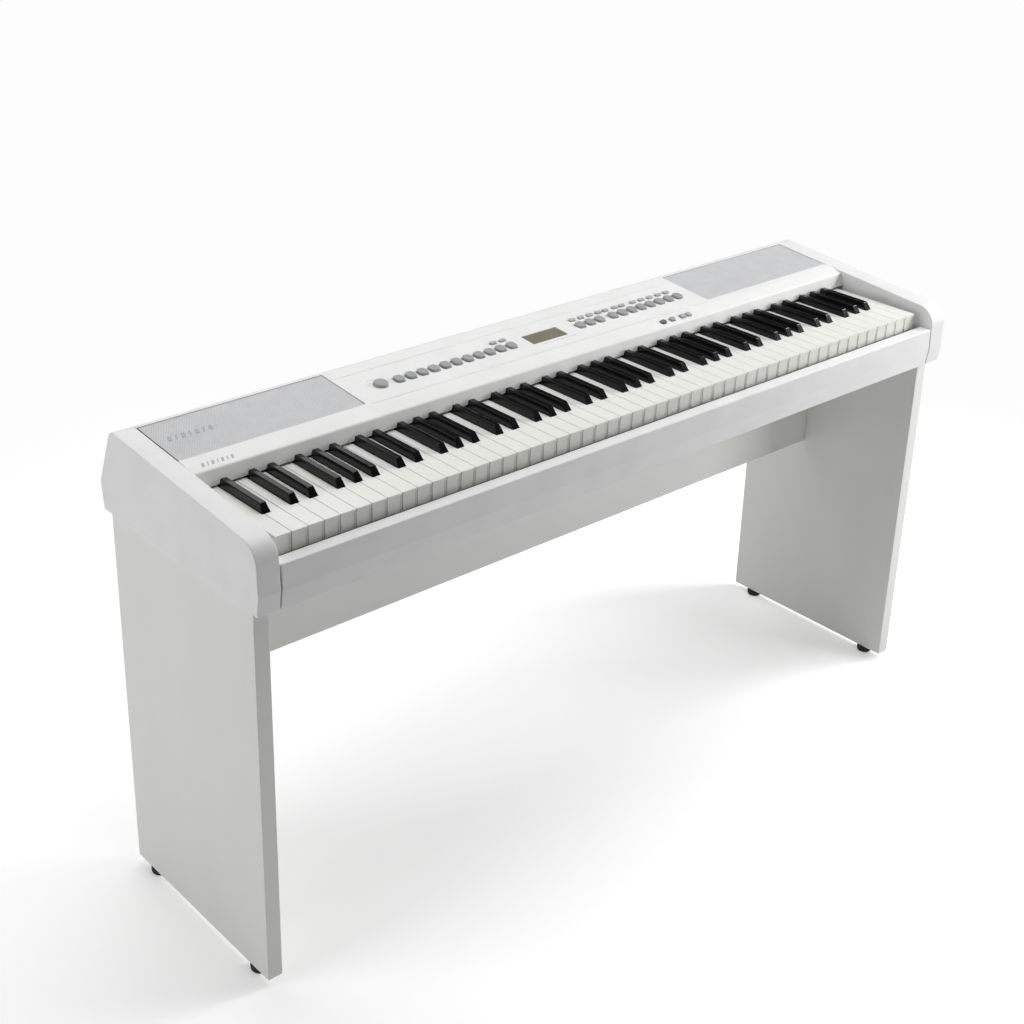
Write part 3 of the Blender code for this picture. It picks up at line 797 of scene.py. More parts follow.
LARGE = {"half": (0.0068, 0.0080), "radius": 0.0048}
SMALL = {"half": (0.0055, 0.0030), "radius": 0.0022, "rise": 0.0030}
CORNER = {"half": (0.0048, 0.0040), "radius": 0.0030, "rise": 0.0030}
BUTTON_ROWS = (
    ButtonRow("left_buttons", spread(-0.2528, 0.02055, 11), 0.2250, finishes=(Finish.BUTTON,), **LARGE),
    ButtonRow("left_small_buttons", spread(-0.0646, 0.0178, 2), 0.2455, finishes=(Finish.PALE_BUTTON,),
              **SMALL),
    ButtonRow("right_buttons", spread(0.0900, 0.0200, 3) + spread(0.1580, 0.0202, 8), 0.2250,
              finishes=(Finish.BUTTON,), **LARGE),
    ButtonRow("right_small_buttons", spread(0.0918, 0.0182, 3) + spread(0.1458, 0.0150, 2)
              + spread(0.1815, 0.0150, 2) + spread(0.2205, 0.0184, 5), 0.2450,
              finishes=(Finish.PALE_BUTTON,), **SMALL),
    ButtonRow("corner_buttons", spread(0.2125, 0.0192, 2) + spread(0.2537, 0.0130, 2), 0.1708,
              finishes=(Finish.DARK_BUTTON, Finish.BUTTON, Finish.PALE_BUTTON, Finish.PALE_BUTTON), **CORNER),
)


@dataclass
class Case:
    """The shell of the piano: cheeks, slip, top panel, rear cover and tray."""

    line: SideLine
    skin: float = 0.0035
    rear_wall: float = 0.003
    grille_x: Point = (0.3346, 0.6222)
    grille_cut: float = 0.6300
    grille_depth: Point = (0.1915, 0.2920)
    display_at: Point = (0.0202, 0.2272)
    display_half: Point = (0.0339, 0.0145)
    knob_at: Point = (-0.2836, 0.2260)
    knob_hole: float = 0.0035
    groove: Point = (0.0009, 0.0007)
    groove_half: float = 0.3290
    groove_depths: tuple[float, ...] = (0.1875, 0.2715)
    socket_z: float = 0.5860
    socket_x: tuple[float, ...] = (-0.470, -0.430)
    socket_hole: float = 0.0071
    slot_x: tuple[float, ...] = spread(0.28, 0.014, 15)
    slot_z: float = 0.645
    slot_half: Point = (0.0015, 0.0125)
    screw_x: tuple[float, ...] = spread(-0.56, 0.28, 5)
    screw_edge: float = 0.025
    fit: float = 0.0003
    cut_depths: Point = (-0.015, 0.010)

    @property
    def grille_half(self) -> Point:
        """Half length and half depth of a grille's opening."""
        length = (self.grille_x[1] - self.grille_x[0]) / 2
        return length, (self.grille_depth[1] - self.grille_depth[0]) / 2 / math.cos(self.line.top_slope)

    def grille_place(self, side: int) -> Point:
        """Middle of the grille on one side, as (x, depth)."""
        return side * sum(self.grille_x) / 2, sum(self.grille_depth) / 2

    def build(self) -> None:
        """Make every shell of the case."""
        self.cheeks()
        self.slip()
        self.top_panel()
        self.rear_cover()
        self.tray()

    def cheeks(self) -> None:
        """End cheeks with softly rounded edges."""
        datums = self.line.datums
        for side, node in ((-1, "left_cheek"), (1, "right_cheek")):
            solid = Solid().bar(self.line.cheek(), side * datums.cheek_inner, side * datums.case_half)
            piece = solid.piece("cheek_" + node.split("_")[0], Finish.CASE)
            mount(soften(piece, 0.0012, 3, 50.0), replaces=(node,))

    def slip(self) -> None:
        """Key slip: a flat top, an upper facet to the ridge and a lower facet under it."""
        low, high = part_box("key_slip")
        at = self.line.datums.at
        outline = fillet((
            ((at(self.line.toe), low.z), 0.0), ((at(self.line.ridge[0]), self.line.ridge[1]), 0.0015),
            ((at(-0.0262), high.z), 0.0020), ((high.y, high.z), 0.0020), ((high.y, low.z), 0.0),
        ), 5)
        piece = Solid().bar(outline, low.x, high.x).piece("key_slip_rail", Finish.CASE)
        mount(soften(piece, 0.0011, 3), replaces=("key_slip",))

    def openings(self) -> bpy.types.Object:
        """One tool with every opening and groove of the top panel."""
        tool = Solid()

        def cut(outline: Sequence[Point], x: float, depth: float, low: float = self.cut_depths[0]) -> None:
            """Add a prism through the panel, square to its surface."""
            tool.add(Solid().slab(outline, low, self.cut_depths[1]).place(self.line.on_top(x, depth)))

        half_x, half_y = (self.grille_cut - self.grille_x[0]) / 2, self.grille_half[1]
        for side in (-1, 1):
            cut(plate(half_x, half_y, 0.002), side * (self.grille_cut - half_x), self.grille_place(side)[1])
        cut(plate(*(half + self.fit for half in self.display_half), 0.001), *self.display_at)
        cut(circle(self.knob_hole, 24), *self.knob_at)
        for row in BUTTON_ROWS:
            for x in row.places:
                cut(row.hole(), x, row.depth)
        width, depth = self.groove
        for place in self.groove_depths:
            cut(plate(self.groove_half, width / 2, width / 4, 1), 0.0, place, -depth)
        return tool.piece("panel_tool", Finish.PANEL)

    def top_panel(self) -> None:
        """Top panel with its drop above the keys."""
        low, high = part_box("top_panel")
        solid = Solid().shell(self.line.upper(), self.skin, low.x, high.x)
        piece = solid.piece("control_panel", Finish.PANEL)
        carve(piece, self.openings())
        mount(soften(piece, self.fit, 1), replaces=("top_panel",))

    def rear_cover(self) -> None:
        """Sloping back with its socket holes and a row of air slots."""
        low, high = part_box("rear_cover")
        solid = Solid().shell(self.line.rear(), self.rear_wall, low.x, high.x)
        piece = solid.piece("back_cover", Finish.CASE)
        tool = Solid()
        for outline, places, z, reach in (
            (circle(self.socket_hole, 32), self.socket_x, self.socket_z, 0.015),
            (plate(*self.slot_half, 0.0014, 4), self.slot_x, self.slot_z, 0.050),
        ):
            for x in places:
                tool.loft([[(x + u, y, z + v) for u, v in outline] for y in (high.y - reach, high.y + 0.01)])
        carve(piece, tool.piece("back_tool", Finish.CASE))
        mount(soften(piece, self.fit, 1), replaces=("rear_cover",))

    def tray(self) -> None:
        """Bottom board and the screws that hold the shells to it."""
        low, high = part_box("bottom_tray")
        piece = Solid().block(low, high).piece("tray_board", Finish.TRAY)
        mount(soften(piece, 0.0006), replaces=("bottom_tray",))
        head = ((0.0001, -0.0008), (0.0012, -0.0016), (0.0030, -0.0017), (0.0036, -0.0008), (0.0036, 0.0))
        for number, x in enumerate(self.screw_x):
            for row, y in enumerate((low.y + self.screw_edge, high.y - self.screw_edge)):
                solid = Solid().turn(head, 24, (x, y)).place(Matrix.Translation((0.0, 0.0, low.z)))
                mount(solid.piece(f"tray_screw_{row}{number}", Finish.ZINC))


# --- keyboard -----------------------------------------------------------------------------------
class Tone(Enum):
    """The two kinds of key."""

    WHITE = "white"
    BLACK = "black"


@dataclass
class Keyboard:
    """Eighty-eight keys, each its own piece, riding on the set that it belongs to."""

    datums: Datums
    whites: int = 52
    gap: float = 0.0010
    notch: float = 0.0565
    tail_end: float = 0.2285
    lip: float = 0.0030
    lip_overhang: float = 0.0009
    front_rim: float = 0.0016
    front_recess: float = 0.0005
    flat_recess: float = 0.00001
    black_half: float = 0.0061
    black_top_half: float = 0.0045
    black_rise: float = 0.0114
    black_front: float = 0.058
    black_slope: float = 0.0072
    black_cap_end: float = 0.1512
    black_tail_end: float = 0.212
    black_nose: float = 0.0028
    crown_radius: float = 0.0012
    skirt: float = 0.0040
    tail_lift: float = 0.0003
    naturals: str = "CDEFGAB"
    separate_octave: int = 4
    last_octave: int = 7
    first_step: int = field(init=False)
    pitch: float = field(init=False)

    def __post_init__(self) -> None:
        """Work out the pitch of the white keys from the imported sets."""
        self.first_step = self.naturals.index("A")
        span = self.datums.keys_right - self.datums.keys_left
        self.pitch = (span + self.gap) / self.whites

    def step(self, number: int) -> int:
        """Place of a white key in its octave, 0 for C."""
        return (number + self.first_step) % 7

    def octave(self, number: int) -> int:
        """Number of the key set that a white key belongs to."""
        return min(max((number + self.first_step) // 7, 1), self.last_octave)

    def front(self, number: int) -> Point:
        """Left and right sides of a white key at its front."""
        left = self.datums.keys_left + number * self.pitch
        return left, left + self.pitch - self.gap

    def tail(self, number: int) -> Point:
        """Left and right sides of a white key between the black ones."""
        step = self.step(number)
        start, whites = (0, 3) if step < 3 else (3, 4)
        share = whites * self.pitch / (2 * whites - 1)
        origin = self.datums.keys_left - self.gap / 2 + (number - (step - start)) * self.pitch
        left = origin + 2 * (step - start) * share
        right = left + share
        front_left, front_right = self.front(number)
        if step == start or number == 0:
            left = front_left
        if step == start + whites - 1 or number == self.whites - 1:
            right = front_right
        return left, right

    def outline(self, number: int, front: float, recess: float) -> list[Point]:
        """Plan outline of a white key.

        Args:
            number: the key, counted from the lowest.
            front: depth of its front face.
            recess: how far the face is hollowed between its two side rims.

        Returns:
            The outline with rounded front corners.
        """
        at = self.datums.at
        left, right = self.front(number)
        tail_left, tail_right = self.tail(number)
        corners: list[tuple[Point, float]] = [((tail_left, at(self.tail_end)), 0.0)]
        if tail_left > left:
            corners += [((tail_left, at(self.notch)), 0.0006), ((left, at(self.notch)), 0.0008)]
        inner_left, inner_right = left + self.front_rim, right - self.front_rim
        corners += [((left, at(front)), 0.0011), ((inner_left, at(front)), 0.0),
                    ((inner_left + recess, at(front + recess)), 0.0),
                    ((inner_right - recess, at(front + recess)), 0.0),
                    ((inner_right, at(front)), 0.0), ((right, at(front)), 0.0011)]
        if tail_right < right:
            corners += [((right, at(self.notch)), 0.0008), ((tail_right, at(self.notch)), 0.0006)]
        corners.append(((tail_right, at(self.tail_end)), 0.0))
        return fillet(corners, 4)

    def node(self, tone: Tone, number: int) -> str:
        """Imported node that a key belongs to."""
        octave = self.octave(number)
        if octave != self.separate_octave:
            return f"{tone.value}_keys_octave_{octave}"
        letter = self.naturals[self.step(number)].lower()
        return f"white_key_{letter}4" if tone is Tone.WHITE else f"black_key_{letter}_sharp4"

    def name(self, number: int, sharp: str = "") -> str:
        """Name of a key's piece, from its letter and its octave."""
        letter = self.naturals[self.step(number)].lower()
        return f"key_{letter}{sharp}{(number + self.first_step) // 7}"

    def build(self) -> None:
        """Make every key."""
        for number in range(self.whites):
            self.white(number)
            if self.step(number) not in (2, 6) and number < self.whites - 1:
                self.black(number)

    def white(self, number: int) -> None:
        """White key: a top plate with a thin lip over a set-back front."""
        top, bottom = self.datums.key_top, self.datums.key_bottom
        body = self.outline(number, self.lip_overhang, self.front_recess)
        plan = self.outline(number, 0.0, self.flat_recess)
        solid = Solid().stack(((body, bottom), (body, top - self.lip), (plan, top - self.lip), (plan, top)))
        node = self.node(Tone.WHITE, number)
        piece = soften(solid.piece(self.name(number), Finish.IVORY), 0.0006, 3, 40.0)
        mount(piece, node + "_body", (node,))

    def black(self, number: int) -> None:
        """Black key: tapered sides, a sloping front and rounded crown edges."""
        at = self.datums.at
        middle = (self.tail(number)[1] + self.tail(number + 1)[0]) / 2
        base = self.datums.key_top
        crown = base + self.black_rise
        shoulder = base + 0.0006
        tail = base + self.tail_lift
        profile = fillet((
            ((self.black_front, base - self.skirt), 0.0), ((self.black_front, shoulder), 0.0006),
            ((self.black_front + self.black_slope, crown), self.black_nose),
            ((self.black_cap_end, crown), 0.0010), ((self.black_cap_end + 0.0004, tail), 0.0),
            ((self.black_tail_end, tail), 0.0), ((self.black_tail_end, base - self.skirt), 0.0),
        ), 6)[1:-1]
        taper = (self.black_half - self.black_top_half) / self.black_rise
        rings = []
        for depth, top in profile:
            height = max(top - base, 0.0)
            radius = min(self.crown_radius, 0.45 * max(height, 0.0004))
            half_top = self.black_half - taper * height
            right = [(self.black_half, self.datums.key_bottom), (self.black_half, base - 0.0002)]
            turn = math.pi / 2 - math.atan(taper)
            centre = (half_top - radius * math.tan(turn / 2), top - radius)
            right += [(centre[0] + radius * math.sin(turn * (1 - step / 5)),
                       centre[1] + radius * math.cos(turn * (1 - step / 5))) for step in range(6)]
            ring = [(x, z) for x, z in right] + [(-x, z) for x, z in reversed(right)]
            rings.append([(middle + x, at(depth), z) for x, z in ring])
        node = self.node(Tone.BLACK, number)
        piece = Solid().loft(rings).piece(self.name(number, "_sharp"), Finish.EBONY, 38.0)
        mount(soften(piece, 0.0003, 2, 38.0), node + "_body", (node,))


# --- controls -----------------------------------------------------------------------------------
@dataclass
class Controls:
    """Button caps, the volume knob, the display and the printed marks."""

    case: Case
    carrier_low: float = -0.0054
    carrier_high: float = -0.0040
    emblem_strokes: int = 7
    cap_foot: float = -0.0050
    dome_lift: float = 0.00015
    window_sink: float = 0.0012
    print_lift: float = 0.00004
    print_depth: float = 0.00006

    def build(self) -> None:
        """Make every control."""
        for row in BUTTON_ROWS:
            self.caps(row)
        self.knob()
        self.display()
        self.prints()

    def caps(self, row: ButtonRow) -> None:
        """Domed caps of one row."""
        line = self.case.line
        half_x, half_y = row.half

        def ring(inset: float) -> list[Point]:
            """Cap outline, drawn in by a distance."""
            return plate(half_x - inset, half_y - inset, max(row.radius - inset, 0.0004), 6)

        dome = ((0.0, self.cap_foot), (0.0, row.rise - 0.0009), (0.0001, row.rise - 0.0006),
                (0.0004, row.rise - 0.0003), (0.0009, row.rise - 0.0001), (0.0017, row.rise),
                (min(half_x, half_y) * 0.75, row.rise + self.dome_lift))
        for index, x in enumerate(row.places):
            finish = row.finishes[min(index, len(row.finishes) - 1)]
            solid = Solid().stack([(ring(inset), height) for inset, height in dome])
            solid.place(line.on_top(x, row.depth))
            piece = solid.piece(f"{row.node}_cap_{index}", finish, 60.0)
            mount(piece, row.node + "_body", (row.node,))
        self.shade_carrier(row)

    def shade_carrier(self, row: ButtonRow) -> None:
        """Strip under the panel that joins the caps of one row, black so that the clearance round each cap
        shows painted shade.
        """
        line = self.case.line
        reach = (row.places[-1] - row.places[0]) / 2 + row.half[0] + row.clearance
        outline = plate(reach, row.half[1] + row.clearance, 0.0010)
        solid = Solid().slab(outline, self.carrier_low, self.carrier_high)
        solid.place(line.on_top((row.places[0] + row.places[-1]) / 2, row.depth))
        # painted shade: the strip is black so the gaps round the caps read dark
        piece = solid.piece(f"{row.node}_strip", Finish.BLACK)
        mount(piece, row.node + "_body", (row.node,))

    def knob(self) -> None:
        """Low knob with a shallow dish in its face."""
        profile = ((0.0004, 0.0042), (0.0045, 0.0043), (0.0072, 0.0046), (0.0082, 0.0049), (0.0090, 0.0049),
                   (0.0098, 0.0045), (0.0104, 0.0038), (0.0107, 0.0028), (0.0108, 0.0009), (0.0106, 0.0005),
                   (0.0030, 0.0005), (0.0030, -0.0078))
        solid = Solid().turn(profile, 64).place(self.case.line.on_top(*self.case.knob_at))
        piece = solid.piece("volume_dial", Finish.BUTTON, 40.0)
        mount(piece, "volume_knob_body", ("volume_knob",))

    def display(self) -> None:
        """Smoky window, a little below the panel's surface."""
        half_x, half_y = self.case.display_half
        outline = plate(half_x, half_y, 0.001)
        solid = Solid().slab(outline, -self.case.skin, -self.window_sink)
        solid.place(self.case.line.on_top(*self.case.display_at))
        piece = soften(solid.piece("display_glass", Finish.WINDOW), 0.0002)
        mount(piece, replaces=("display_window",))

    def dashes(self, name: str, marks: Iterable[tuple[float, float, float]]) -> None:
        """Printed dashes on the panel.

        Args:
            name: the piece's name.
            marks: each dash as (x, depth, half length).
        """
        joined = Solid()
        for x, depth, half in marks:
            outline = plate(half, 0.0005, 0.0003, 2)
            dash = Solid().slab(outline, -self.print_depth, self.print_lift)
            joined.add(dash.place(self.case.line.on_top(x, depth)))
        mount(joined.piece(name, Finish.PRINT))

    def emblem(self, name: str, start: Point, height: float, low: float, high: float) -> None:
        """Plain mark: a row of slanted strokes with no letters.

        Args:
            name: the piece's name.
            start: x and depth of the first stroke's middle.
            height: height of the strokes along the panel.
            low: where they start above or below the panel's surface.
            high: where they end.
        """
        joined = Solid()
        half, lean, thin = height / 2, height * 0.16, height * 0.11
        for index in range(self.emblem_strokes):
            wide = thin if index % 2 else thin * 2.2
            stroke = [(-wide - lean, -half), (wide - lean, -half), (wide + lean, half), (-wide + lean, half)]
            bar = Solid().slab(stroke, low, high)
            joined.add(bar.place(self.case.line.on_top(start[0] + index * height * 0.95, start[1])))
        mount(joined.piece(name, Finish.PRINT))

    def prints(self) -> None:
        """Plain marks and dashes where the panel's legends would be."""
        self.emblem("grille_emblem", (-0.6020, 0.2455), 0.0105, -0.0007, -0.0001)
        self.emblem("panel_emblem", (-0.6010, 0.1698), 0.0075, -self.print_depth, self.print_lift)
        knob_x = self.case.knob_at[0]
        left, right = BUTTON_ROWS[0].places, BUTTON_ROWS[3].places
        self.dashes("left_legend", [(knob_x - 0.004, 0.2435, 0.0070),
                                    *((x, 0.2370, 0.0026) for x in left[1:-2:2])])
        self.dashes("right_legend", [(x, 0.2525, 0.0022) for x in right])
        self.dashes("centre_legend", [(x, 0.2060, 0.0030) for x in spread(0.0040, 0.0080, 8)])


# --- grilles ------------------------------------------------------------------------------------
@dataclass
class Grille:
    """Perforated metal pan with the speaker cloth behind it."""

    case: Case
    hole_pitch: float = 0.0024
    hole_radius: float = 0.00062
    border: float = 0.0012
    gap: float = 0.0009
    sink: float = 0.0003
    sheet: float = 0.0008
    pan_depth: float = 0.0045
    cloth_inset: float = 0.002
    cloth_heights: Point = (-0.0022, -0.0014)

    def build(self) -> None:
        """Make both grilles."""
        for side, hand in ((-1, "left"), (1, "right")):
            self.mesh(side, hand)
            self.rim(side, hand)
            self.cloth(side, hand)
            self.gap_shade(side, hand)

    def mesh(self, side: int, hand: str) -> None:
        """Field of round holes in a honeycomb."""
        under_rim = self.hole_pitch * 0.4 - self.border - self.gap
        half_x, half_y = (half + under_rim for half in self.case.grille_half)
        row_pitch = self.hole_pitch * math.sqrt(3) / 2
        rows = int((half_y - self.hole_pitch / 2) / row_pitch)
        reach = self.hole_pitch / math.sqrt(3)
        bm = bmesh.new()
        known: dict[tuple[int, int], bmesh.types.BMVert] = {}

        def corner(x: float, y: float) -> bmesh.types.BMVert:
            """Vertex shared by the cells that meet at a point."""
            key = (round(x * 1e6), round(y * 1e6))
            if key not in known:
                known[key] = bm.verts.new((x, y, 0.0))
            return known[key]

        turns = spread(math.pi / 6, math.pi / 3, 6)
        for row in range(-rows, rows + 1):
            start = self.hole_pitch / 2 if row % 2 else 0.0
            columns = int((half_x - start) / self.hole_pitch)
            for column in range(-columns - (1 if row % 2 else 0), columns + 1):
                x, y = start + column * self.hole_pitch, row * row_pitch
                outer = [corner(x + reach * math.cos(turn), y + reach * math.sin(turn)) for turn in turns]
                inner = [bm.verts.new((x + self.hole_radius * math.cos(turn),
                                       y + self.hole_radius * math.sin(turn), 0.0)) for turn in turns]
                for index in range(6):
                    after = (index + 1) % 6
                    bm.faces.new((outer[index], outer[after], inner[after], inner[index]))
        bmesh.ops.remove_doubles(bm, verts=bm.verts, dist=2e-6)
        solid = Solid()
        solid.bm.free()
        solid.bm = bm
        solid.place(self.case.line.on_top(*self.case.grille_place(side), -2 * self.sink))
        piece = solid.piece(f"{hand}_grille_mesh", Finish.GRILLE)
        thick = piece.modifiers.new("sheet", "SOLIDIFY")
        thick.thickness = self.sheet
        thick.offset = -1.0
        mount(piece, replaces=(f"{hand}_grille",))

    def frame(self, name: str, finish: Finish, side: int, rings: Iterable[tuple[float, float]]) -> None:
        """Make a closed frame that follows the opening's edge.

        Args:
            name: the piece's name.
            finish: what it is made of.
            side: -1 for the bass end, 1 for the treble end.
            rings: its section, each corner as (distance inside the opening, height).
        """
        half_x, half_y = self.case.grille_half
        solid = Solid().band([
            [(x, y, height) for x, y in plate(half_x - inset, half_y - inset, max(0.002 - inset, 0.0005), 4)]
            for inset, height in rings])
        solid.place(self.case.line.on_top(*self.case.grille_place(side)))
        mount(solid.piece(name, finish))

    def rim(self, side: int, hand: str) -> None:
        """Plain border of the pan, turned down at its edge."""
        out, deep = self.gap, -self.sink
        inner = out + self.border
        bend, wall, foot = 0.0004, self.sheet, deep - self.pan_depth
        self.frame(f"{hand}_grille_rim", Finish.GRILLE, side, (
            (out, foot), (out, deep - bend), (out + bend, deep), (inner, deep),
            (inner, deep - 0.0006), (out + wall, deep - 0.0012), (out + wall, foot)))

    def gap_shade(self, side: int, hand: str) -> None:
        """Black strip set near the surface in the gap round the pan, as painted shade for the dark gap."""
        near, far = 0.00005, self.gap - 0.00005
        # painted shade: the black strip darkens the gap round the grille
        self.frame(f"{hand}_grille_seal", Finish.BLACK, side,
                   ((near, -0.0030), (near, -0.0007), (far, -0.0007), (far, -0.0030)))

    def cloth(self, side: int, hand: str) -> None:
        """Backing cloth stretched under the holes."""
        half_x, half_y = self.case.grille_half
        outline = plate(half_x - self.cloth_inset, half_y - self.cloth_inset, 0.001)
        solid = Solid().slab(outline, *self.cloth_heights)
        solid.place(self.case.line.on_top(*self.case.grille_place(side)))
        mount(solid.piece(f"{hand}_grille_cloth", Finish.CLOTH))


# --- stand --------------------------------------------------------------------------------------
@dataclass
class Stand:
    """Side panels, the board between them, glides, brackets and thumb screws."""

    edge: float = 0.0008
    glide_round: Point = (0.0030, 0.0050)
    flutes: int = 12
    flute_depth: float = 0.0007
    thread_radius: float = 0.0030

    def build(self) -> None:
        """Make every part of the stand."""
        for node in ("left_side_panel", "right_side_panel", "modesty_board"):
            low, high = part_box(node)
            piece = Solid().block(low, high).piece(node + "_facing", Finish.BOARD)
            mount(soften(piece, self.edge, 3), replaces=(node,))
        for hand in ("left", "right"):
            for end in ("front", "rear"):
                self.foot(f"foot_{hand}_{end}")
            self.screw(f"{hand}_thumb_screw")
            self.bracket(f"{hand}_bracket")

    def foot(self, node: str) -> None:
        """Round glide with a soft lower edge."""
        low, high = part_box(node)
        radius = (high.x - low.x) / 2
        height = high.z - low.z
        wide, tall = self.glide_round
        lower = [(radius - wide + wide * math.sin(turn), tall - tall * math.cos(turn))
                 for turn in spread(0.0, math.pi / 12, 7)]
        profile = ((0.0010, 0.0), *lower, (radius, height - 0.0006), (radius - 0.0004, height))
        solid = Solid().turn(profile, 48, middle(low, high)[:2]).place(Matrix.Translation((0.0, 0.0, low.z)))
        mount(solid.piece("glide_" + node[5:], Finish.RUBBER, 50.0), replaces=(node,))

    def screw(self, node: str) -> None:
        """Thumb screw with a fluted head."""
        low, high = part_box(node)
        radius = (high.x - low.x) / 2

        def fluted(size: float) -> list[Point]:
            """Outline whose edge waves in and out."""
            turns = spread(0.0, 2 * math.pi / 96, 96)
            reach = [size - self.flute_depth * (1 - math.cos(self.flutes * turn)) / 2 for turn in turns]
            return [(far * math.cos(turn), far * math.sin(turn)) for far, turn in zip(reach, turns)]

        sections = [(fluted(radius - 0.002), low.z), (fluted(radius - 0.0005), low.z + 0.0006),
                    (fluted(radius), low.z + 0.0016), (fluted(radius), low.z + 0.0092),
                    (circle(0.0060, 96), low.z + 0.0099), (circle(self.thread_radius, 96), low.z + 0.0100),
                    (circle(self.thread_radius, 96), high.z)]
        solid = Solid().stack(sections, middle(low, high)[:2])
        piece = solid.piece(node.replace("thumb", "clamp"), Finish.BLACK, 50.0)
        mount(piece, replaces=(node,))

    def bracket(self, node: str) -> None:
        """Folded steel angle, kept as packed and given soft folds."""
        piece = bpy.data.objects[node]
        piece.data.materials.clear()
        piece.data.materials.append(Finish.ZINC.material)
        weld = piece.modifiers.new("weld", "WELD")
        weld.merge_threshold = 1e-5
        soften(piece, 0.0004, 2, 40.0)


# --- back and inside ----------------------------------------------------------------------------
@dataclass
class Fittings:
    """Sockets at the back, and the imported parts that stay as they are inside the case."""

    line: SideLine
    kept: dict[str, Finish] = field(default_factory=lambda: {
        "display_module": Finish.CIRCUIT, "contact_board": Finish.CIRCUIT, "main_board": Finish.CIRCUIT,
        "panel_board": Finish.CIRCUIT, "left_speaker": Finish.BLACK, "right_speaker": Finish.BLACK,
        "key_frame": Finish.ZINC, "key_felt": Finish.FELT,
    })

    def build(self) -> None:
        """Make the sockets and dress what is kept."""
        for node, finish in self.kept.items():
            piece = bpy.data.objects[node]
            piece.data.materials.clear()
            piece.data.materials.append(finish.material)
        for node, bore in (("power_socket", 0.0033), ("pedal_socket", 0.0036)):
            self.socket(node, bore)

    def socket(self, node: str, bore: float) -> None:
        """Round socket with a rimmed mouth and a deep bore."""
        low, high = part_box(node)
        x, _, z = middle(low, high)
        outer = (high.x - low.x) / 2
        rings = ((bore * 0.96, high.y - 0.0126), (bore, high.y - 0.0008), (bore + 0.0006, high.y),
                 (outer - 0.0006, high.y), (outer, high.y - 0.0006), (outer, low.y))
        solid = Solid().loft([[(x + u, y, z + v) for u, v in circle(radius, 40)] for radius, y in rings])
        mount(solid.piece(node.replace("socket", "jack"), Finish.BLACK), replaces=(node,))


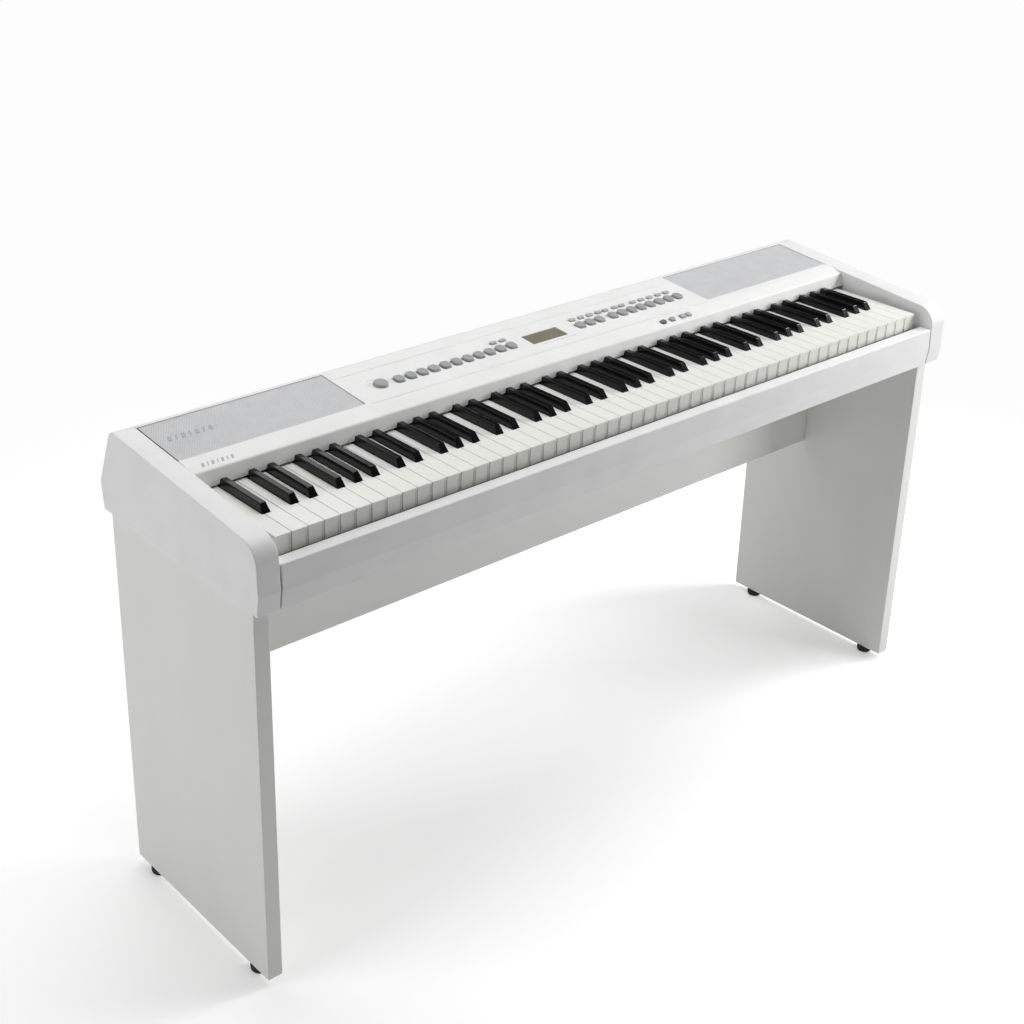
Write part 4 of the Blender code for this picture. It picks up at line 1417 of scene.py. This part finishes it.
# --- studio -------------------------------------------------------------------------------------
@dataclass
class Studio:
    """Camera, floor, world and lamps."""

    datums: Datums
    eye: tuple[float, float, float] = (-1.5523, -1.4379, 1.5478)
    yaw: float = 40.04
    pitch: float = -24.22
    roll: float = 0.753
    lens: float = 58.50
    shift: Point = (0.0577, -0.0766)
    floor_reach: float = 30.0
    floor_glow: float = 0.16
    floor_seen_glow: float = 0.26
    backdrop: float = 0.983
    fade: Point = (0.9, 1.9)
    sky: float = 0.01

    def build(self) -> None:
        """Set up everything that isn't the piano."""
        self.camera()
        self.floor()
        self.world()
        self.lamps()
        bpy.context.scene.view_settings.view_transform = "Standard"

    def camera(self) -> None:
        """Long lens from above the bass end. The eye's depth is from the key front."""
        yaw, pitch, roll = (math.radians(angle) for angle in (self.yaw, self.pitch, self.roll))
        forward = Vector((math.sin(yaw) * math.cos(pitch), math.cos(yaw) * math.cos(pitch), math.sin(pitch)))
        level = Vector((math.cos(yaw), -math.sin(yaw), 0.0))
        upright = level.cross(forward)
        right = level * math.cos(roll) + upright * math.sin(roll)
        up = upright * math.cos(roll) - level * math.sin(roll)
        lens = bpy.data.cameras.new("camera")
        lens.lens = self.lens
        lens.sensor_width = 36.0
        lens.shift_x, lens.shift_y = self.shift
        made = bpy.data.objects.new("camera", lens)
        rotation = Matrix((right, up, -forward)).transposed().to_4x4()
        eye = Vector((self.eye[0], self.datums.at(self.eye[1]), self.eye[2]))
        made.matrix_world = Matrix.Translation(eye) @ rotation
        bpy.context.collection.objects.link(made)
        bpy.context.scene.camera = made

    def floor(self) -> None:
        """Plain pale floor, lighter where seen directly, that fades into the backdrop far out."""
        bm = bmesh.new()
        bmesh.ops.create_circle(bm, cap_ends=True, radius=self.floor_reach, segments=64)
        mesh = bpy.data.meshes.new("floor")
        bm.to_mesh(mesh)
        bm.free()
        graph = Graph("studio_floor")
        white = (1.0, 1.0, 1.0, 1.0)
        dull = {"roughness": 0.9, "specular_ior_level": 0.0, "emission_color": white}
        graph.set(base_color=(0.8, 0.8, 0.8, 1.0), emission_strength=self.floor_glow, **dull)
        tree = graph.tree
        seen = add_node(tree, "BsdfPrincipled", base_color=white, **dull,
                        emission_strength=self.floor_seen_glow)
        backdrop = add_node(tree, "Emission", strength=self.backdrop)
        radius = add_node(tree, "VectorMath")
        radius.operation = "LENGTH"
        fade = add_node(tree, "MapRange", from_min=self.fade[0], from_max=self.fade[1])
        fade.interpolation_type = "SMOOTHSTEP"
        path = add_node(tree, "LightPath")
        far, mix = add_node(tree, "MixShader"), add_node(tree, "MixShader")
        for output, socket in (
            (graph.place, radius.inputs[0]), (radius.outputs["Value"], fade.inputs["Value"]),
            (fade.outputs["Result"], far.inputs["Fac"]), (seen.outputs["BSDF"], far.inputs[1]),
            (backdrop.outputs["Emission"], far.inputs[2]), (path.outputs["Is Camera Ray"], mix.inputs["Fac"]),
            (graph.shader.outputs["BSDF"], mix.inputs[1]), (far.outputs["Shader"], mix.inputs[2]),
            (mix.outputs["Shader"], tree.nodes["Material Output"].inputs["Surface"]),
        ):
            tree.links.new(output, socket)
        mesh.materials.append(graph.material)
        made = bpy.data.objects.new("floor", mesh)
        bpy.context.collection.objects.link(made)

    def world(self) -> None:
        """Dim room light, on a plain white backdrop."""
        world = bpy.data.worlds.new("studio")
        world.use_nodes = True
        tree = world.node_tree
        tree.nodes.clear()
        path, mix = add_node(tree, "LightPath"), add_node(tree, "MixShader")
        white = (1.0, 1.0, 1.0, 1.0)
        room = add_node(tree, "Background", color=white, strength=self.sky)
        backdrop = add_node(tree, "Background", color=white, strength=self.backdrop)
        for output, socket in (
            (path.outputs["Is Camera Ray"], mix.inputs["Fac"]), (room.outputs["Background"], mix.inputs[1]),
            (backdrop.outputs["Background"], mix.inputs[2]),
            (mix.outputs["Shader"], add_node(tree, "OutputWorld").inputs["Surface"]),
        ):
            tree.links.new(output, socket)
        bpy.context.scene.world = world

    def lamps(self) -> None:
        """Soft panels of light: overhead, behind, at the treble front and at both sides."""
        self.lamp("overhead_panel", (0.0, 0.15, 2.40), (0.0, 0.10, 0.60), 1.6, 26.2)
        self.lamp("back_panel", (0.2, 1.6, 2.20), (0.0, 0.10, 0.60), 1.6, 9.5)
        self.lamp("low_back_panel", (0.0, 1.9, 0.90), (0.0, 0.20, 0.60), 1.8, 4.0)
        self.lamp("front_panel", (1.35, -1.15, 0.85), (0.30, -0.10, 0.45), 0.6, 9.8)
        self.lamp("high_front_panel", (1.90, -0.75, 1.70), (0.40, 0.0, 0.50), 0.6, 21.3)
        self.lamp("treble_side_panel", (2.40, 0.30, 1.20), (0.50, 0.10, 0.50), 1.0, 4.0)
        self.lamp("bass_side_panel", (-2.60, 0.40, 1.20), (-0.60, 0.10, 0.40), 1.4, 23.5)

    def lamp(self, name: str, place: Sequence[float], aim: Sequence[float], size: float, power: float
             ) -> None:
        """Add one square panel of light.

        Args:
            name: the lamp's name.
            place: where it stands.
            aim: what it points at.
            size: length of its side.
            power: its power in watts.
        """
        data = bpy.data.lights.new(name, "AREA")
        data.size = size
        data.energy = power
        made = bpy.data.objects.new(name, data)
        made.location = place
        made.rotation_euler = (Vector(aim) - Vector(place)).to_track_quat("-Z", "Y").to_euler()
        bpy.context.collection.objects.link(made)


def main() -> None:
    """Build the piano and its studio."""
    logging.basicConfig(level=logging.INFO, format="%(name)s: %(message)s")
    for thing in list(bpy.data.objects):
        bpy.data.objects.remove(thing)
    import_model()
    datums = Datums.read()
    line = SideLine(datums)
    case = Case(line)
    Studio(datums).build()
    case.build()
    Keyboard(datums).build()
    Controls(case).build()
    Grille(case).build()
    Stand().build()
    Fittings(line).build()


if __name__ == "__main__":
    main()
